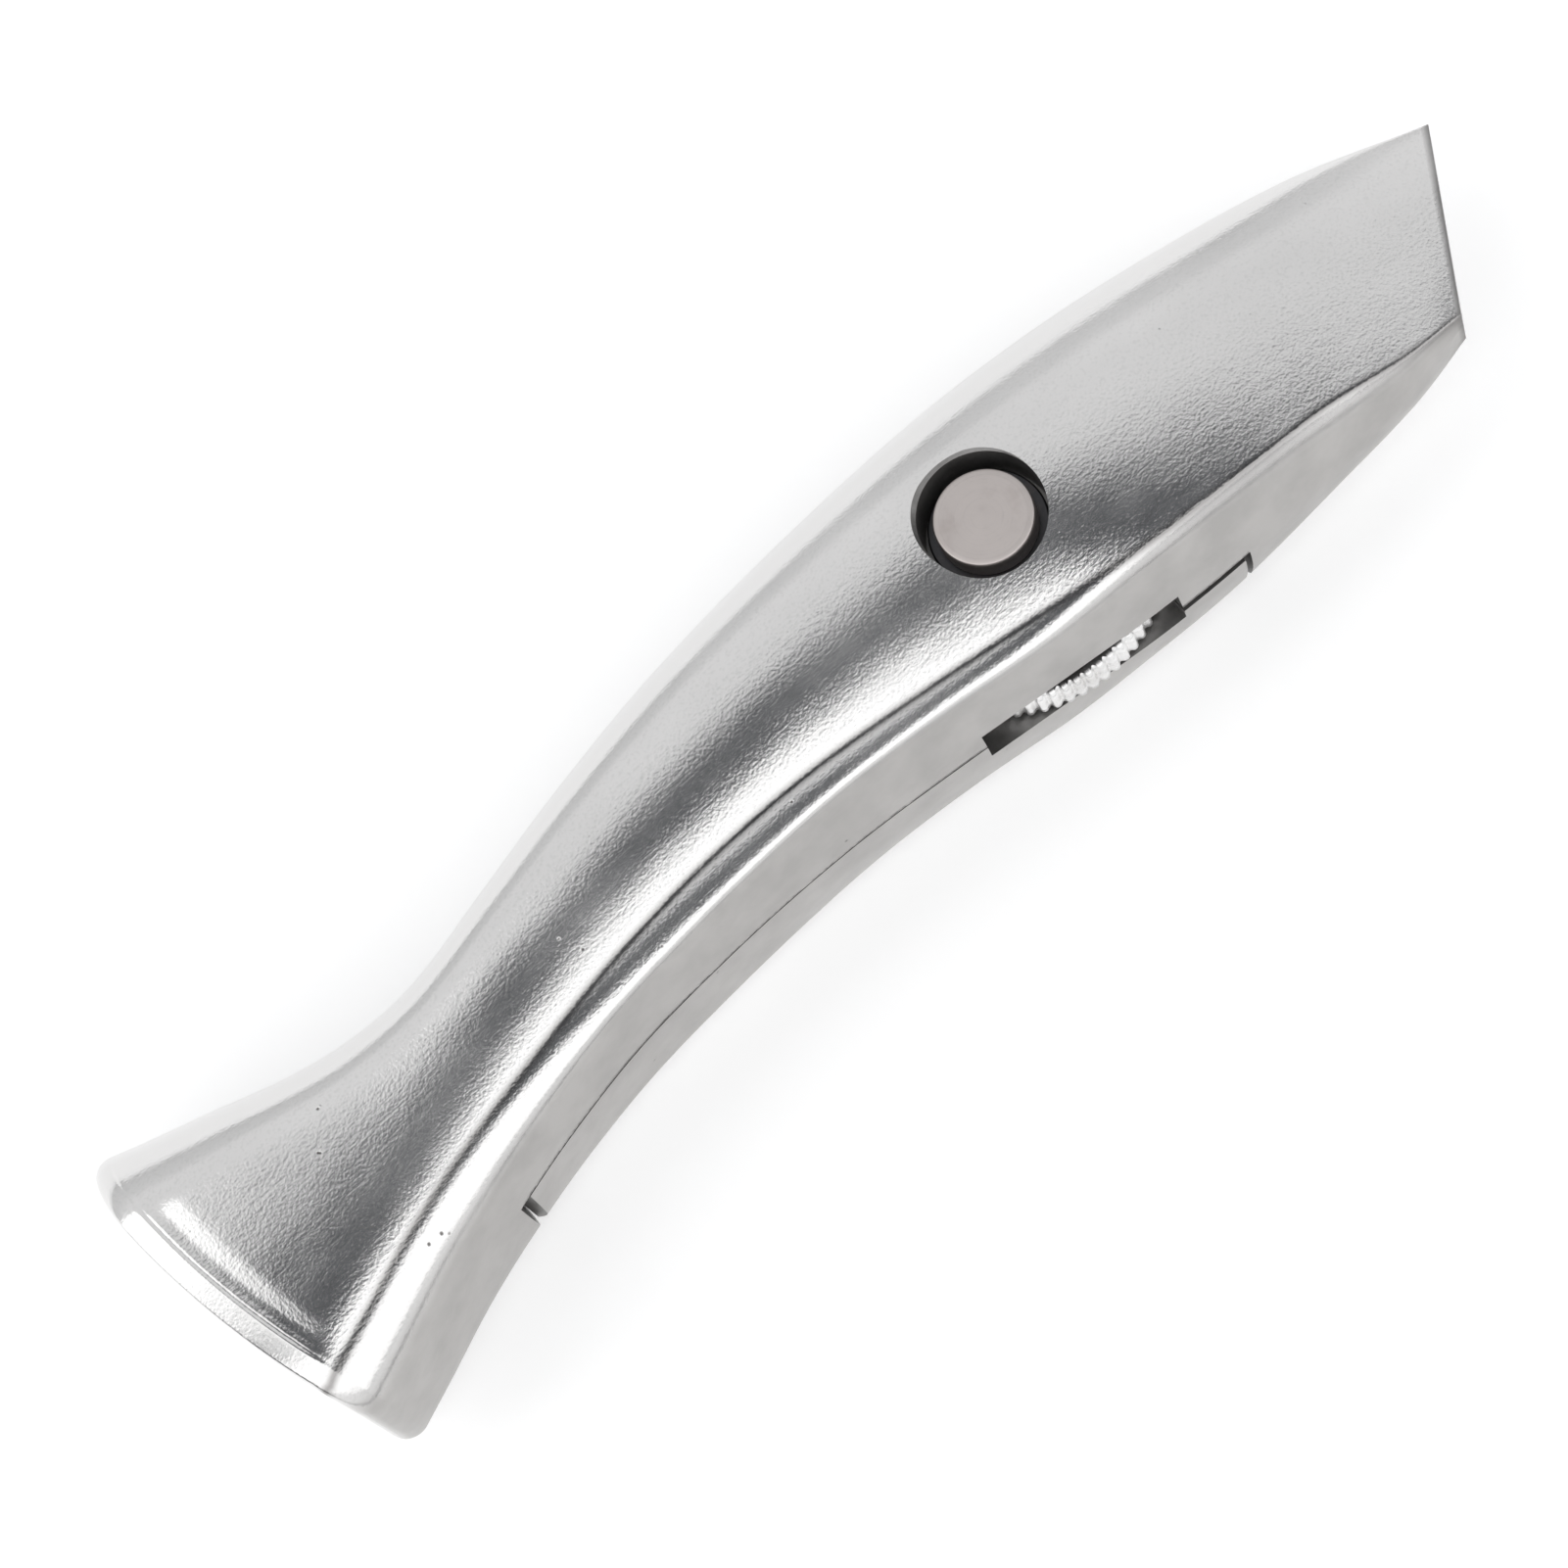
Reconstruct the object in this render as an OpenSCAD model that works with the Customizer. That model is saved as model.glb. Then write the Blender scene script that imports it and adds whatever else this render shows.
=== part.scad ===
/* [Castings] */
// Half of the knife's thickness, from the parting plane to the side it lies on
half_thick = 14.4; // [14.0:0.1:14.8]
// Gap between the two castings along the parting plane
seam_gap = 0.2; // [0.1:0.05:0.25]
// Place along the knife where the cover ends at the tail
cover_rear_x = -85.5; // [-85.6:0.1:-85]
// Place along the knife where the tail block's wall stands
tail_wall_x = -85.8; // [-86.2:0.1:-85.6]
// Place along the knife where the cover's underside ends at the nose
cover_front_x = 18.8; // [18:0.2:19.2]
// Radius of the rounded edge round the tail end
tail_edge_r = 1.5; // [1:0.1:2.5]

/* [Clamp screw] */
// Radius of the hole in the side that shows the screw head
head_hole_r = 7.15; // [6.5:0.05:7.5]
// Height of that hole's floor above the parting plane
head_floor_z = 8.5; // [8:0.1:9]
// Radius of the screw head
head_r = 5.6; // [5:0.1:6]
// Height of the head's flat face above the parting plane
head_top_z = 13.2; // [12.8:0.1:13.4]
// Radius of the plain shank
shank_r = 4; // [3.5:0.05:4]
// Radius of the threaded end
thread_r = 3.85; // [3.5:0.05:3.85]
// Depth of the threaded end below the parting plane
thread_end = 12.3; // [11.5:0.1:12.4]

/* [Clamp wheel] */
// Radius over the teeth of the wheel
wheel_r = 17.7; // [17.4:0.1:17.7]
// Width of the wheel
wheel_w = 4; // [3.6:0.1:4.4]
// Number of teeth round the wheel
wheel_teeth = 72; // [60:1:80]
// Depth of each tooth
tooth_h = 0.65; // [0.3:0.05:0.8]
// Height of the bevel on each side of the wheel's rim
wheel_bevel = 0.5; // [0.4:0.1:1.6]
// Radius of the chamber that the wheel turns in
chamber_r = 18; // [18:0.05:18.1]
// Half the width of that chamber and of its slot in the underside
chamber_half_w = 3.1; // [2.8:0.1:3.3]
// Place along the knife where the slot starts, towards the tail
slot_rear_x = -15.5; // [-16.5:0.5:-14.5]
// Place along the knife where the slot ends, towards the nose
slot_front_x = 10.2; // [9.6:0.2:11]

/* [Hinge] */
// Place of the hinge pin along the knife
hinge_x = -87.3; // [-87.5:0.1:-87.2]
// Depth of the hinge pin below the parting plane
hinge_depth = 10.2; // [10:0.1:10.3]
// Radius of the hinge pin
hinge_pin_r = 1.2; // [1:0.05:1.25]
// Width of the cover's knuckle
knuckle_w = 9; // [7:0.5:10]

/* [Blades] */
// Length of a trapezoid blade along its cutting edge
blade_l = 61; // [60:0.5:62]
// Length of the blade's spine
blade_spine = 33; // [30:1:36]
// Height of the blade
blade_h = 19; // [18.5:0.1:19]
// Thickness of the blade
blade_t = 0.65; // [0.5:0.05:0.65]
// Depth of the magazine above the parting plane
magazine_depth = 6; // [5:0.1:6]
// Depth of the blade seat in the body's parting face
seat_depth = 0.5; // [0.4:0.05:0.6]

/* [Hidden] */
$fn = 64;
eps = 0.01;
far = 60;

// The design lies in X and Y along the parting plane, with the clamp screw on the Z axis.
// X runs to the nose and Y to the curved back. Each node is lifted by half_thick at the end,
// so that the knife lies on Z = 0.

// The back's outline at the parting plane, as places along and across the knife.
BACK = [[-118, 17.7], [-112, 15.4], [-104, 12.7], [-96, 9.9], [-88, 8.1], [-79, 7.9],
        [-67, 10.6], [-54, 13.7], [-38, 16.6], [-20, 18.3], [0, 18.9], [16, 18.1], [34, 15.6],
        [52, 11.5], [67.2, 5.4]];
// The underside's outline at the parting plane.
UNDER = [[-111.2, -28.7], [-103, -25.3], [-95, -21.9], [-86, -18.9], [-76, -16.2], [-65, -14.1],
         [-54, -13.2], [-43, -12.9], [-31, -13.3], [-18, -14.6], [-4, -16.3], [8, -17.7],
         [19, -18.2], [32, -18], [44, -17.3], [53.2, -15.6]];
// Half thickness at the crown of the side, by place along the middle of the section.
CROWN = [[-114.6, 14.5], [-104, 13.9], [-90, 13.1], [-72, 13.3], [-45, 14.0], [-12, 14.6],
         [6, 14.4], [22, 12.5], [36, 9.3], [48, 5.8], [60, 2.1], [68, 0.9]];
// Height of the crease that runs beside the underside.
RIM = [[-114.6, 11.1], [-95, 11.15], [-75, 11.25], [-50, 11.7], [-20, 11.75], [0, 11.9],
       [10, 12.0], [20, 11.4], [32, 9.5], [44, 6.6], [60, 1.9]];
// Distance of the crease from the underside.
CREASE = [[-114.6, 5.5], [-99, 5.2], [-89, 5.0], [-69, 4.3], [-48, 4.9], [-28, 5.0], [2, 4.0],
          [14, 3.4], [27, 3.3], [40, 3.2], [51, 1.9], [60, 0.6]];
// Lean of the rim outside the crease, in degrees: beside the crease, then at its outer edge.
LEAN_IN = [[-114.6, 10], [-85, 8], [-60, 2], [-30, -2], [-5, 0], [12, 8], [30, 12], [60, 14]];
LEAN_OUT = [[-114.6, 32], [-85, 28], [-60, 16], [-30, 13], [-5, 16], [12, 28], [30, 34], [60, 34]];
// Radius of the rim's outer edge, where it turns into the underside.
EDGE_R = [[-114.6, 3.5], [-85, 2.6], [-60, 1.4], [-10, 1.4], [10, 2.8], [30, 4.2], [45, 3.0],
          [60, 0.5]];
// Distance by which the underside swells out between its edge and the parting plane.
SWELL = [[-114.6, 0.3], [-75, 0.3], [-60, 0.4], [-45, 0.7], [-31, 1.2], [-18, 1.4], [-4, 1.1],
         [8, 1.7], [20, 1.6], [32, 1.35], [44, 0.9], [60, 0.15]];
// Share of the width at which the crown lies, the power of the side's curve, and its extra dip.
CROWN_AT = [[-114.6, 0.72], [-90, 0.69], [-60, 0.66], [60, 0.66]];
SIDE_POWER = [[-114.6, 1.35], [-95, 1.4], [-75, 1.8], [-55, 2.1], [60, 2.0]];
DIP = [[-114.6, 0.6], [-95, 0.5], [-75, 0.2], [-50, 0], [60, 0]];

mid_tail = (BACK[0][0] + UNDER[0][0]) / 2;
mid_nose = (BACK[len(BACK) - 1][0] + UNDER[len(UNDER) - 1][0]) / 2;
tail_bulge = 2.7;
back_power = 1.7;
wall_steps = 3;
dip_reach = 2.5;
shelf_steps = 3;
edge_steps = 5;
side_steps = 8;
back_steps = 9;
tail_steps = 5;
span_steps = 38;

// Slope of a table at entry i, from its neighbours.
function slope(t, i) =
    let (a = max(i - 1, 0), b = min(i + 1, len(t) - 1))
    (t[b][1] - t[a][1]) / (t[b][0] - t[a][0]);
// Entry of a table that starts the stretch holding x.
function stretch(t, x, i = 0) = i >= len(t) - 2 || x < t[i + 1][0] ? i : stretch(t, x, i + 1);
// Smooth curve through a table, read at x.
function read_curve(t, x) =
    let (i = stretch(t, x), h = t[i + 1][0] - t[i][0], u = min(max((x - t[i][0]) / h, 0), 1))
    t[i][1] * (1 + 2 * u) * (1 - u) * (1 - u) + slope(t, i) * h * u * (1 - u) * (1 - u)
    + t[i + 1][1] * u * u * (3 - 2 * u) - slope(t, i + 1) * h * u * u * (1 - u);

// Lean of a section: its back end lies further out than its underside end at tail and nose.
tail_lean = (BACK[0][0] - UNDER[0][0]) / 2;
nose_lean = (BACK[len(BACK) - 1][0] - UNDER[len(UNDER) - 1][0]) / 2;
function ease(u) = let (v = min(max(u, 0), 1)) v * v * (3 - 2 * v);
function lean(m) = tail_lean * ease((-84 - m) / 30) + nose_lean * ease((m - 8) / 52);
// Point across a section of middle m, d along it from the underside, out of its width w.
function across(m, d, w, bulge) =
    let (p = [m - lean(m), read_curve(UNDER, m - lean(m))],
         q = [m + lean(m), read_curve(BACK, m + lean(m))], f = d / w)
    p + (q - p) * f - [bulge * 4 * f * (1 - f), 0];
function width(m) =
    let (p = [m - lean(m), read_curve(UNDER, m - lean(m))],
         q = [m + lean(m), read_curve(BACK, m + lean(m))])
    norm(q - p);

// Near half of a section, from the underside to the back, as distance across and height.
function half_profile(m) =
    let (w = width(m), crown = read_curve(CROWN, m), rim = read_curve(RIM, m),
         fold = read_curve(CREASE, m), a = read_curve(LEAN_IN, m), b = read_curve(LEAN_OUT, m),
         r = read_curve(EDGE_R, m), power = read_curve(SIDE_POWER, m), dip = read_curve(DIP, m),
         top = w * read_curve(CROWN_AT, m), swell = read_curve(SWELL, m),
         steep = 90 - atan(2.4 * swell / rim), shelf = fold - swell - r * (sin(steep) - sin(b)),
         edge_z = rim - shelf * (tan(a) + tan(b)) / 2, wall_z = edge_z - r * (cos(b) - cos(steep)))
    concat(
        [for (i = [0:wall_steps - 1])
            let (u = i / wall_steps)
            [swell * u * u, wall_z * u]],
        [for (i = [edge_steps:-1:1])
            let (t = b + (steep - b) * i / edge_steps)
            [fold - shelf - r * (sin(t) - sin(b)), edge_z - r * (cos(b) - cos(t))]],
        [for (i = [shelf_steps:-1:1])
            let (u = i / shelf_steps)
            [fold - shelf * u, rim - shelf * (tan(a) * u + (tan(b) - tan(a)) * u * u / 2)]],
        [for (i = [0:side_steps])
            let (u = pow(i / side_steps, 1.25), d = fold + (top - fold) * u)
            [d, rim + dip * (1 - exp(-(d - fold) / dip_reach))
                + (crown - rim - dip) * (1 - pow(1 - u, power))]],
        [for (i = [1:back_steps])
            let (t = 90 * i / back_steps)
            [top + (w - top) * pow(sin(t), 2 / back_power), crown * pow(max(cos(t), 0), 2 / back_power)]]
    );

// Sections from tail to nose: each entry holds the middle place and how far its edge is drawn in.
function stations() = concat(
    [for (i = [0:tail_steps])
        let (a = 90 * i / tail_steps)
        [mid_tail + tail_edge_r * (1 - cos(a)), tail_edge_r * (1 - sin(a))]],
    [for (i = [1:span_steps])
        let (start = mid_tail + tail_edge_r)
        [start + (mid_nose - start) * i / span_steps, 0]]
);

// Share of the nose's slant that its thickness doesn't follow, so that it thins towards the tip.
nose_share = 0.6;
function taper(m, f) =
    read_curve(CROWN, m + nose_share * ease((m - 8) / 52) * lean(m) * (2 * f - 1)) / read_curve(CROWN, m);

// One closed ring of the skin, round both halves.
function ring(m, inset) =
    let (near = half_profile(m), w = width(m), k = len(near),
         bulge = tail_bulge * ease((-95 - m) / 19),
         place = [for (p = near)
            let (d = inset + p[0] * (w - 2 * inset) / w, q = across(m, d, w, bulge))
            [q[0], q[1], p[1] * (1 - inset / half_thick) * taper(m, d / w)]])
    concat(place, [for (i = [k - 2:-1:1]) [place[i][0], place[i][1], -place[i][2]]]);

// The whole outer shape of the knife as one skin.
module outer_skin() {
    rows = [for (s = stations()) ring(s[0], s[1])];
    n = len(rows[0]);
    last = len(rows) - 1;
    half = n / 2;
    points = [for (row = rows) each row];
    walls = [for (j = [0:last - 1], i = [0:n - 1])
        let (a = j * n + i, b = j * n + (i + 1) % n)
        each [[a, b, b + n], [a, b + n, a + n]]];
    function cap(o) = [for (i = [0:half - 1])
        let (a = o + i, b = o + i + 1, c = o + (n - i - 1) % n, d = o + (n - i) % n)
        each i == 0 ? [[a, b, c]] : i == half - 1 ? [[a, b, d]] : [[a, b, c], [a, c, d]]];
    tail_cap = cap(0);
    nose_cap = [for (f = cap(last * n)) [f[2], f[1], f[0]]];
    polyhedron(points = points, faces = [for (f = concat(walls, nose_cap, tail_cap)) [f[2], f[1], f[0]]],
               convexity = 6);
}

// The blade's seat in the nose: its direction, its lower edge and the ledge that carries it.
seat_turn = -6;
seat_low = [54.2, -14.15];
seat_back_x = 19.6;
function ledge_y(x) = seat_low[1] + (x - seat_low[0]) * tan(seat_turn);

// Plan of everything that belongs to the cover, drawn in by a gap g.
module cover_plan(rear_x, front_x, g) {
    polygon([[rear_x, -far], [front_x, -far], [front_x, ledge_y(front_x) + g],
             [far + 20, ledge_y(far + 20) + g], [far + 20, far], [rear_x, far]]);
}

// Cylinder about the screw axis between two heights.
module disc(r, low, high) {
    translate([0, 0, low])
        cylinder(r = r, h = high - low);
}

// Space that the wheel turns in, with its slot through the underside.
module wheel_space() {
    rotate_extrude()
        polygon([[0, -chamber_half_w], [chamber_r - 0.7, -chamber_half_w], [chamber_r, -chamber_half_w + 0.7],
                 [chamber_r, chamber_half_w - 0.7], [chamber_r - 0.7, chamber_half_w], [0, chamber_half_w]]);
    translate([slot_rear_x, -far, -chamber_half_w])
        cube([slot_front_x - slot_rear_x, far - 8, 2 * chamber_half_w]);
}

// A trapezoid blade's outline, centred, with the cutting edge towards -Y and two notches.
notch_x = 9.7;
notch_w = 3;
notch_h = 2.4;
module blade_plan() {
    difference() {
        polygon([[-blade_l / 2, -blade_h / 2], [blade_l / 2, -blade_h / 2],
                 [blade_spine / 2, blade_h / 2], [-blade_spine / 2, blade_h / 2]]);
        for (x = [-notch_x, notch_x])
            translate([x - notch_w / 2, blade_h / 2 - notch_h])
                square([notch_w, notch_h + 1]);
    }
}

// Place and turn of the magazine in the handle.
magazine_at = [-51.2, -0.6];
magazine_turn = 7.3;
module in_magazine(z) {
    translate([magazine_at[0], magazine_at[1], z])
        rotate(magazine_turn)
            children();
}
// Rectangle with round corners, centred.
module round_box(l, w, h, r) {
    linear_extrude(h)
        union() {
            square([l - 2 * r, w], center = true);
            square([l, w - 2 * r], center = true);
            for (sx = [-1, 1], sy = [-1, 1])
                translate([sx * (l / 2 - r), sy * (w / 2 - r)])
                    circle(r = r, $fn = 32);
        }
}

// Places of the two pegs that the mounted blade's notches fit.
seat_mid = [44, -3.5];
peg_r = 1.3;
peg_top = 3;
peg_low = 1;
function peg_at(side) =
    seat_mid + (side * notch_x) * [cos(seat_turn), sin(seat_turn)]
    + (blade_h / 2 - notch_h + peg_r) * [-sin(seat_turn), cos(seat_turn)];

// Hinge at the tail: knuckle, its neck and the pin's own line.
hinge_y = -5.5;
knuckle_r = 2.25;
fit_gap = 0.05;
pin_low_y = -14.5;
pin_high_y = 4.6;
module along_hinge(r, y0, y1) {
    translate([hinge_x, y0, -hinge_depth])
        rotate([-90, 0, 0])
            cylinder(r = r, h = y1 - y0);
}

// Sloped corner of the cover's end, and the foot that the knife rests on.
end_x = -83.9;
end_y = read_curve(UNDER, end_x) - 0.3;
end_cut = 1.6;
foot_r = 6;

// Magnet in the magazine's floor.
magnet_r = 5;
magnet_h = 3;
magnet_u = 14;

// Bush, insert and washers on the clamp screw.
bush_r = 5.5;
insert_r = 5.5;
insert_top = 7.3;
insert_low = 12.5;
washer_r = 6.7;
washer_t = 0.9;
spring_h = 0.8;
head_low_z = head_floor_z + spring_h + washer_t;
ring_t = 0.7;
key_w = 2;

module body_casting() {
    color([0.75, 0.75, 0.76])
        difference() {
            outer_skin();
            // flat that the tail rests on
            translate([-far * 3, -far, -far - half_thick])
                cube([far * 3, 2 * far, far]);
            // room for the cover
            translate([0, 0, -far])
                linear_extrude(far)
                    cover_plan(tail_wall_x, cover_front_x + 0.8, 0);
            wheel_space();
            // screw hole with its counterbore and its bush's seat
            disc(head_hole_r, head_floor_z, far);
            disc(bush_r, 0, head_floor_z + eps);
            // magazine and its magnet's pocket
            in_magazine(-eps)
                round_box(blade_l + 1.4, blade_h + 0.8, magazine_depth + eps, 1);
            in_magazine(magazine_depth - eps)
                translate([magnet_u, 0, 0])
                    cylinder(r = magnet_r, h = magnet_h + eps);
            // seat of the mounted blade, open at the nose
            translate([seat_low[0], seat_low[1], -eps])
                rotate(seat_turn)
                    translate([-34.4, 0, 0])
                        cube([60, blade_h + 0.3, seat_depth + eps]);
            for (side = [-1, 1])
                translate([peg_at(side)[0], peg_at(side)[1], 0])
                    cylinder(r = peg_r, h = peg_top);
            // hinge slot and pin hole in the tail block
            translate([hinge_x - knuckle_r - 0.5, hinge_y - knuckle_w / 2 - 0.3, -far])
                cube([20, knuckle_w + 0.6, far - hinge_depth + knuckle_r + 0.5]);
            along_hinge(hinge_pin_r + fit_gap, pin_low_y, far);
        }
}

module cover_casting() {
    color([0.72, 0.72, 0.73])
        difference() {
            union() {
                difference() {
                    intersection() {
                        outer_skin();
                        translate([0, 0, -half_thick])
                            linear_extrude(half_thick - seam_gap)
                                cover_plan(cover_rear_x, cover_front_x, 0.1);
                    }
                    // sloped corner of the end that shows beside the tail block
                    linear_extrude(2 * far, center = true)
                        polygon([[cover_rear_x - 2, end_y + end_cut], [cover_rear_x, end_y + end_cut],
                                 [end_x, end_y], [end_x, end_y - 3], [cover_rear_x - 2, end_y - 3]]);
                    // clearance for the end to swing past the tail block
                    translate([0, far, 0])
                        rotate([90, 0, 0])
                            linear_extrude(2 * far)
                                polygon([[cover_rear_x - 9, -hinge_depth], [cover_rear_x, -hinge_depth],
                                         [cover_rear_x + 1.6, -half_thick + 1], [cover_rear_x + 1.6, -far],
                                         [cover_rear_x - 9, -far]]);
                }
                // foot under the clamp screw
                disc(foot_r, -half_thick, -insert_low + 0.5);
                // knuckle and its neck
                along_hinge(knuckle_r, hinge_y - knuckle_w / 2, hinge_y + knuckle_w / 2);
                translate([hinge_x, hinge_y - knuckle_w / 2, -hinge_depth - 1.9])
                    cube([cover_rear_x - hinge_x + 3, knuckle_w, 4.2]);
            }
            wheel_space();
            disc(shank_r + 0.5, -insert_top - eps, 0);
            disc(insert_r, -insert_low, -insert_top);
            // relief beside the wheel's slot, which shows as a dark gap
            translate([slot_front_x - 1, -far, -1.2])
                cube([far, far - 13.5, 2]);
            // weight pocket under the magazine
            in_magazine(-7)
                round_box(blade_l - 7, blade_h - 3, 8, 2);
            in_magazine(-10)
                translate([rivet_u, 0, 0])
                    cylinder(r = rivet_r, h = 4);
            for (side = [-1, 1])
                translate([peg_at(side)[0], peg_at(side)[1], -1.3])
                    cylinder(r = peg_r + 0.4, h = 3);
            along_hinge(hinge_pin_r + fit_gap, -far, far);
        }
}

module clamp_screw() {
    color([0.70, 0.67, 0.65])
        difference() {
            rotate_extrude()
                polygon([[0, -thread_end], [thread_r - 0.8, -thread_end], [thread_r, -thread_end + 0.8],
                         [thread_r, -chamber_half_w], [shank_r, -chamber_half_w],
                         [shank_r, head_low_z],
                         [head_r, head_low_z],
                         [head_r, head_top_z - 0.3], [head_r - 0.3, head_top_z], [0, head_top_z]]);
            key_space();
        }
}

// Keyway shared by the screw and the wheel.
module key_space() {
    translate([shank_r - 1.2, -key_w / 2, -wheel_w / 2])
        cube([2.4, key_w, wheel_w]);
}

module clamp_wheel() {
    pitch = 360 / wheel_teeth;
    tooth = [[0.05, 0], [0.22, 0.65], [0.38, 1], [0.62, 1], [0.78, 0.65], [0.95, 0]];
    color([0.80, 0.80, 0.80])
        difference() {
            intersection() {
                translate([0, 0, -wheel_w / 2])
                    linear_extrude(wheel_w)
                        polygon([for (i = [0:wheel_teeth - 1], c = tooth)
                            let (a = pitch * (i + c[0]), r = wheel_r - tooth_h * (1 - c[1]))
                            [r * cos(a), r * sin(a)]]);
                rotate_extrude()
                    polygon([[0, -wheel_w / 2], [wheel_r - wheel_bevel, -wheel_w / 2],
                             [wheel_r + 0.1, -wheel_w / 2 + wheel_bevel], [wheel_r + 0.1, wheel_w / 2 - wheel_bevel],
                             [wheel_r - wheel_bevel, wheel_w / 2], [0, wheel_w / 2]]);
            }
            disc(shank_r, -wheel_w, wheel_w);
            key_space();
        }
}

module wheel_key() {
    color([0.55, 0.55, 0.57])
        key_space();
}

module retaining_ring() {
    color([0.35, 0.35, 0.37])
        difference() {
            disc(shank_r + 2, -wheel_w / 2 - ring_t, -wheel_w / 2);
            disc(shank_r, -far, far);
            translate([-far, -1.5, -wheel_w / 2 - ring_t - eps])
                cube([far, 3, ring_t + 2 * eps]);
        }
}

module disc_spring() {
    low = head_floor_z;
    high = head_floor_z + spring_h;
    color([0.45, 0.45, 0.47])
        rotate_extrude()
            polygon([[shank_r + 0.3, high - 0.4], [shank_r + 0.3, high], [shank_r + 2.6, low + 0.4],
                     [shank_r + 2.6, low]]);
}

module head_washer() {
    color([0.30, 0.30, 0.31])
        difference() {
            disc(washer_r, head_floor_z + spring_h, head_low_z);
            disc(shank_r + 0.3, -far, far);
        }
}

module screw_bush() {
    color([0.60, 0.56, 0.45])
        difference() {
            disc(bush_r, chamber_half_w, head_floor_z);
            disc(shank_r + fit_gap, -far, far);
        }
}

module thread_insert() {
    color([0.62, 0.60, 0.55])
        difference() {
            disc(insert_r, -insert_low, -insert_top);
            disc(thread_r + 0.15, -far, far);
        }
}

module hinge_pin() {
    color([0.60, 0.60, 0.62])
        along_hinge(hinge_pin_r, pin_low_y + 0.5, pin_high_y);
}

module blade_peg(side) {
    color([0.60, 0.60, 0.62])
        translate([peg_at(side)[0], peg_at(side)[1], -peg_low])
            cylinder(r = peg_r, h = peg_low + peg_top);
}

// Blade number i of the stack, the first one against the magazine's floor.
module spare_blade(i) {
    color([0.66, 0.67, 0.70])
        in_magazine(magazine_depth - i * blade_t)
            linear_extrude(blade_t)
                blade_plan();
}

module magazine_magnet() {
    color([0.25, 0.25, 0.26])
        in_magazine(magazine_depth)
            translate([magnet_u, 0, 0])
                cylinder(r = magnet_r, h = magnet_h);
}

// Bowed leaf that keeps the stored blades from rattling, with a flat foot for its rivet.
leaf_t = 0.4;
leaf_w = 10;
rivet_u = -21;
rivet_r = 1.5;
leaf_floor = -7;
module magazine_spring() {
    foot = 7;
    span = 34;
    rise = magazine_depth - 5 * blade_t - 0.15 - leaf_floor - leaf_t;
    steps = 24;
    function bow(t) = [rivet_u + foot / 2 + span * t, leaf_floor + rise * (1 - cos(360 * t)) / 2];
    line = concat([[rivet_u - foot / 2, leaf_floor]], [for (i = [0:steps]) bow(i / steps)]);
    outline = concat(line, [for (i = [len(line) - 1:-1:0]) line[i] + [0, leaf_t]]);
    color([0.50, 0.51, 0.55])
        difference() {
            in_magazine(0)
                translate([0, leaf_w / 2, 0])
                    rotate([90, 0, 0])
                        linear_extrude(leaf_w)
                            polygon(outline);
            in_magazine(-far)
                translate([rivet_u, 0, 0])
                    cylinder(r = rivet_r, h = far);
        }
}

module magazine_rivet() {
    color([0.70, 0.70, 0.72])
        in_magazine(0)
            translate([rivet_u, 0, -10])
                union() {
                    cylinder(r = rivet_r, h = 3 + leaf_t);
                    translate([0, 0, 3 + leaf_t])
                        cylinder(r = 2.6, h = 0.9);
                }
}

module lift() {
    translate([0, 0, half_thick])
        children();
}

lift() body_casting();
lift() cover_casting();
lift() clamp_screw();
lift() clamp_wheel();
lift() wheel_key();
lift() retaining_ring();
lift() disc_spring();
lift() head_washer();
lift() screw_bush();
lift() thread_insert();
lift() hinge_pin();
lift() blade_peg(1);  // blade_peg_front
lift() blade_peg(-1);  // blade_peg_rear
lift() spare_blade(1);  // spare_blade_1
lift() spare_blade(2);  // spare_blade_2
lift() spare_blade(3);  // spare_blade_3
lift() spare_blade(4);  // spare_blade_4
lift() spare_blade(5);  // spare_blade_5
lift() magazine_magnet();
lift() magazine_spring();
lift() magazine_rivet();
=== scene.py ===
import math
import bmesh
import bpy
import numpy as np
from mathutils import Matrix, Vector
from mathutils.bvhtree import BVHTree


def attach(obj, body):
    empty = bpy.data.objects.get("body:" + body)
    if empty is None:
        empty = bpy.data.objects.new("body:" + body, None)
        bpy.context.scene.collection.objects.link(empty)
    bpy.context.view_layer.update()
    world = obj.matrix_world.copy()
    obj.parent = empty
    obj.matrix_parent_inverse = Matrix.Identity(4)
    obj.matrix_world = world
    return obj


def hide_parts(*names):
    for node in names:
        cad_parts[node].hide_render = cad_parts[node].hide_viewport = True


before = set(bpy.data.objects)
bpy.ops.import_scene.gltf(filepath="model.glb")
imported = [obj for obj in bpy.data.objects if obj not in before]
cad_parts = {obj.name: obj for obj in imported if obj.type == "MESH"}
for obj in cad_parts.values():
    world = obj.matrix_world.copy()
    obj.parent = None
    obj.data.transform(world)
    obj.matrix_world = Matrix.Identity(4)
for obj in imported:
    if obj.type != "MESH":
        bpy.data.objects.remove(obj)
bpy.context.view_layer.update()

MM = 0.001
LIFT = 14.4  # height of the parting plane above the floor, in mm

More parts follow.
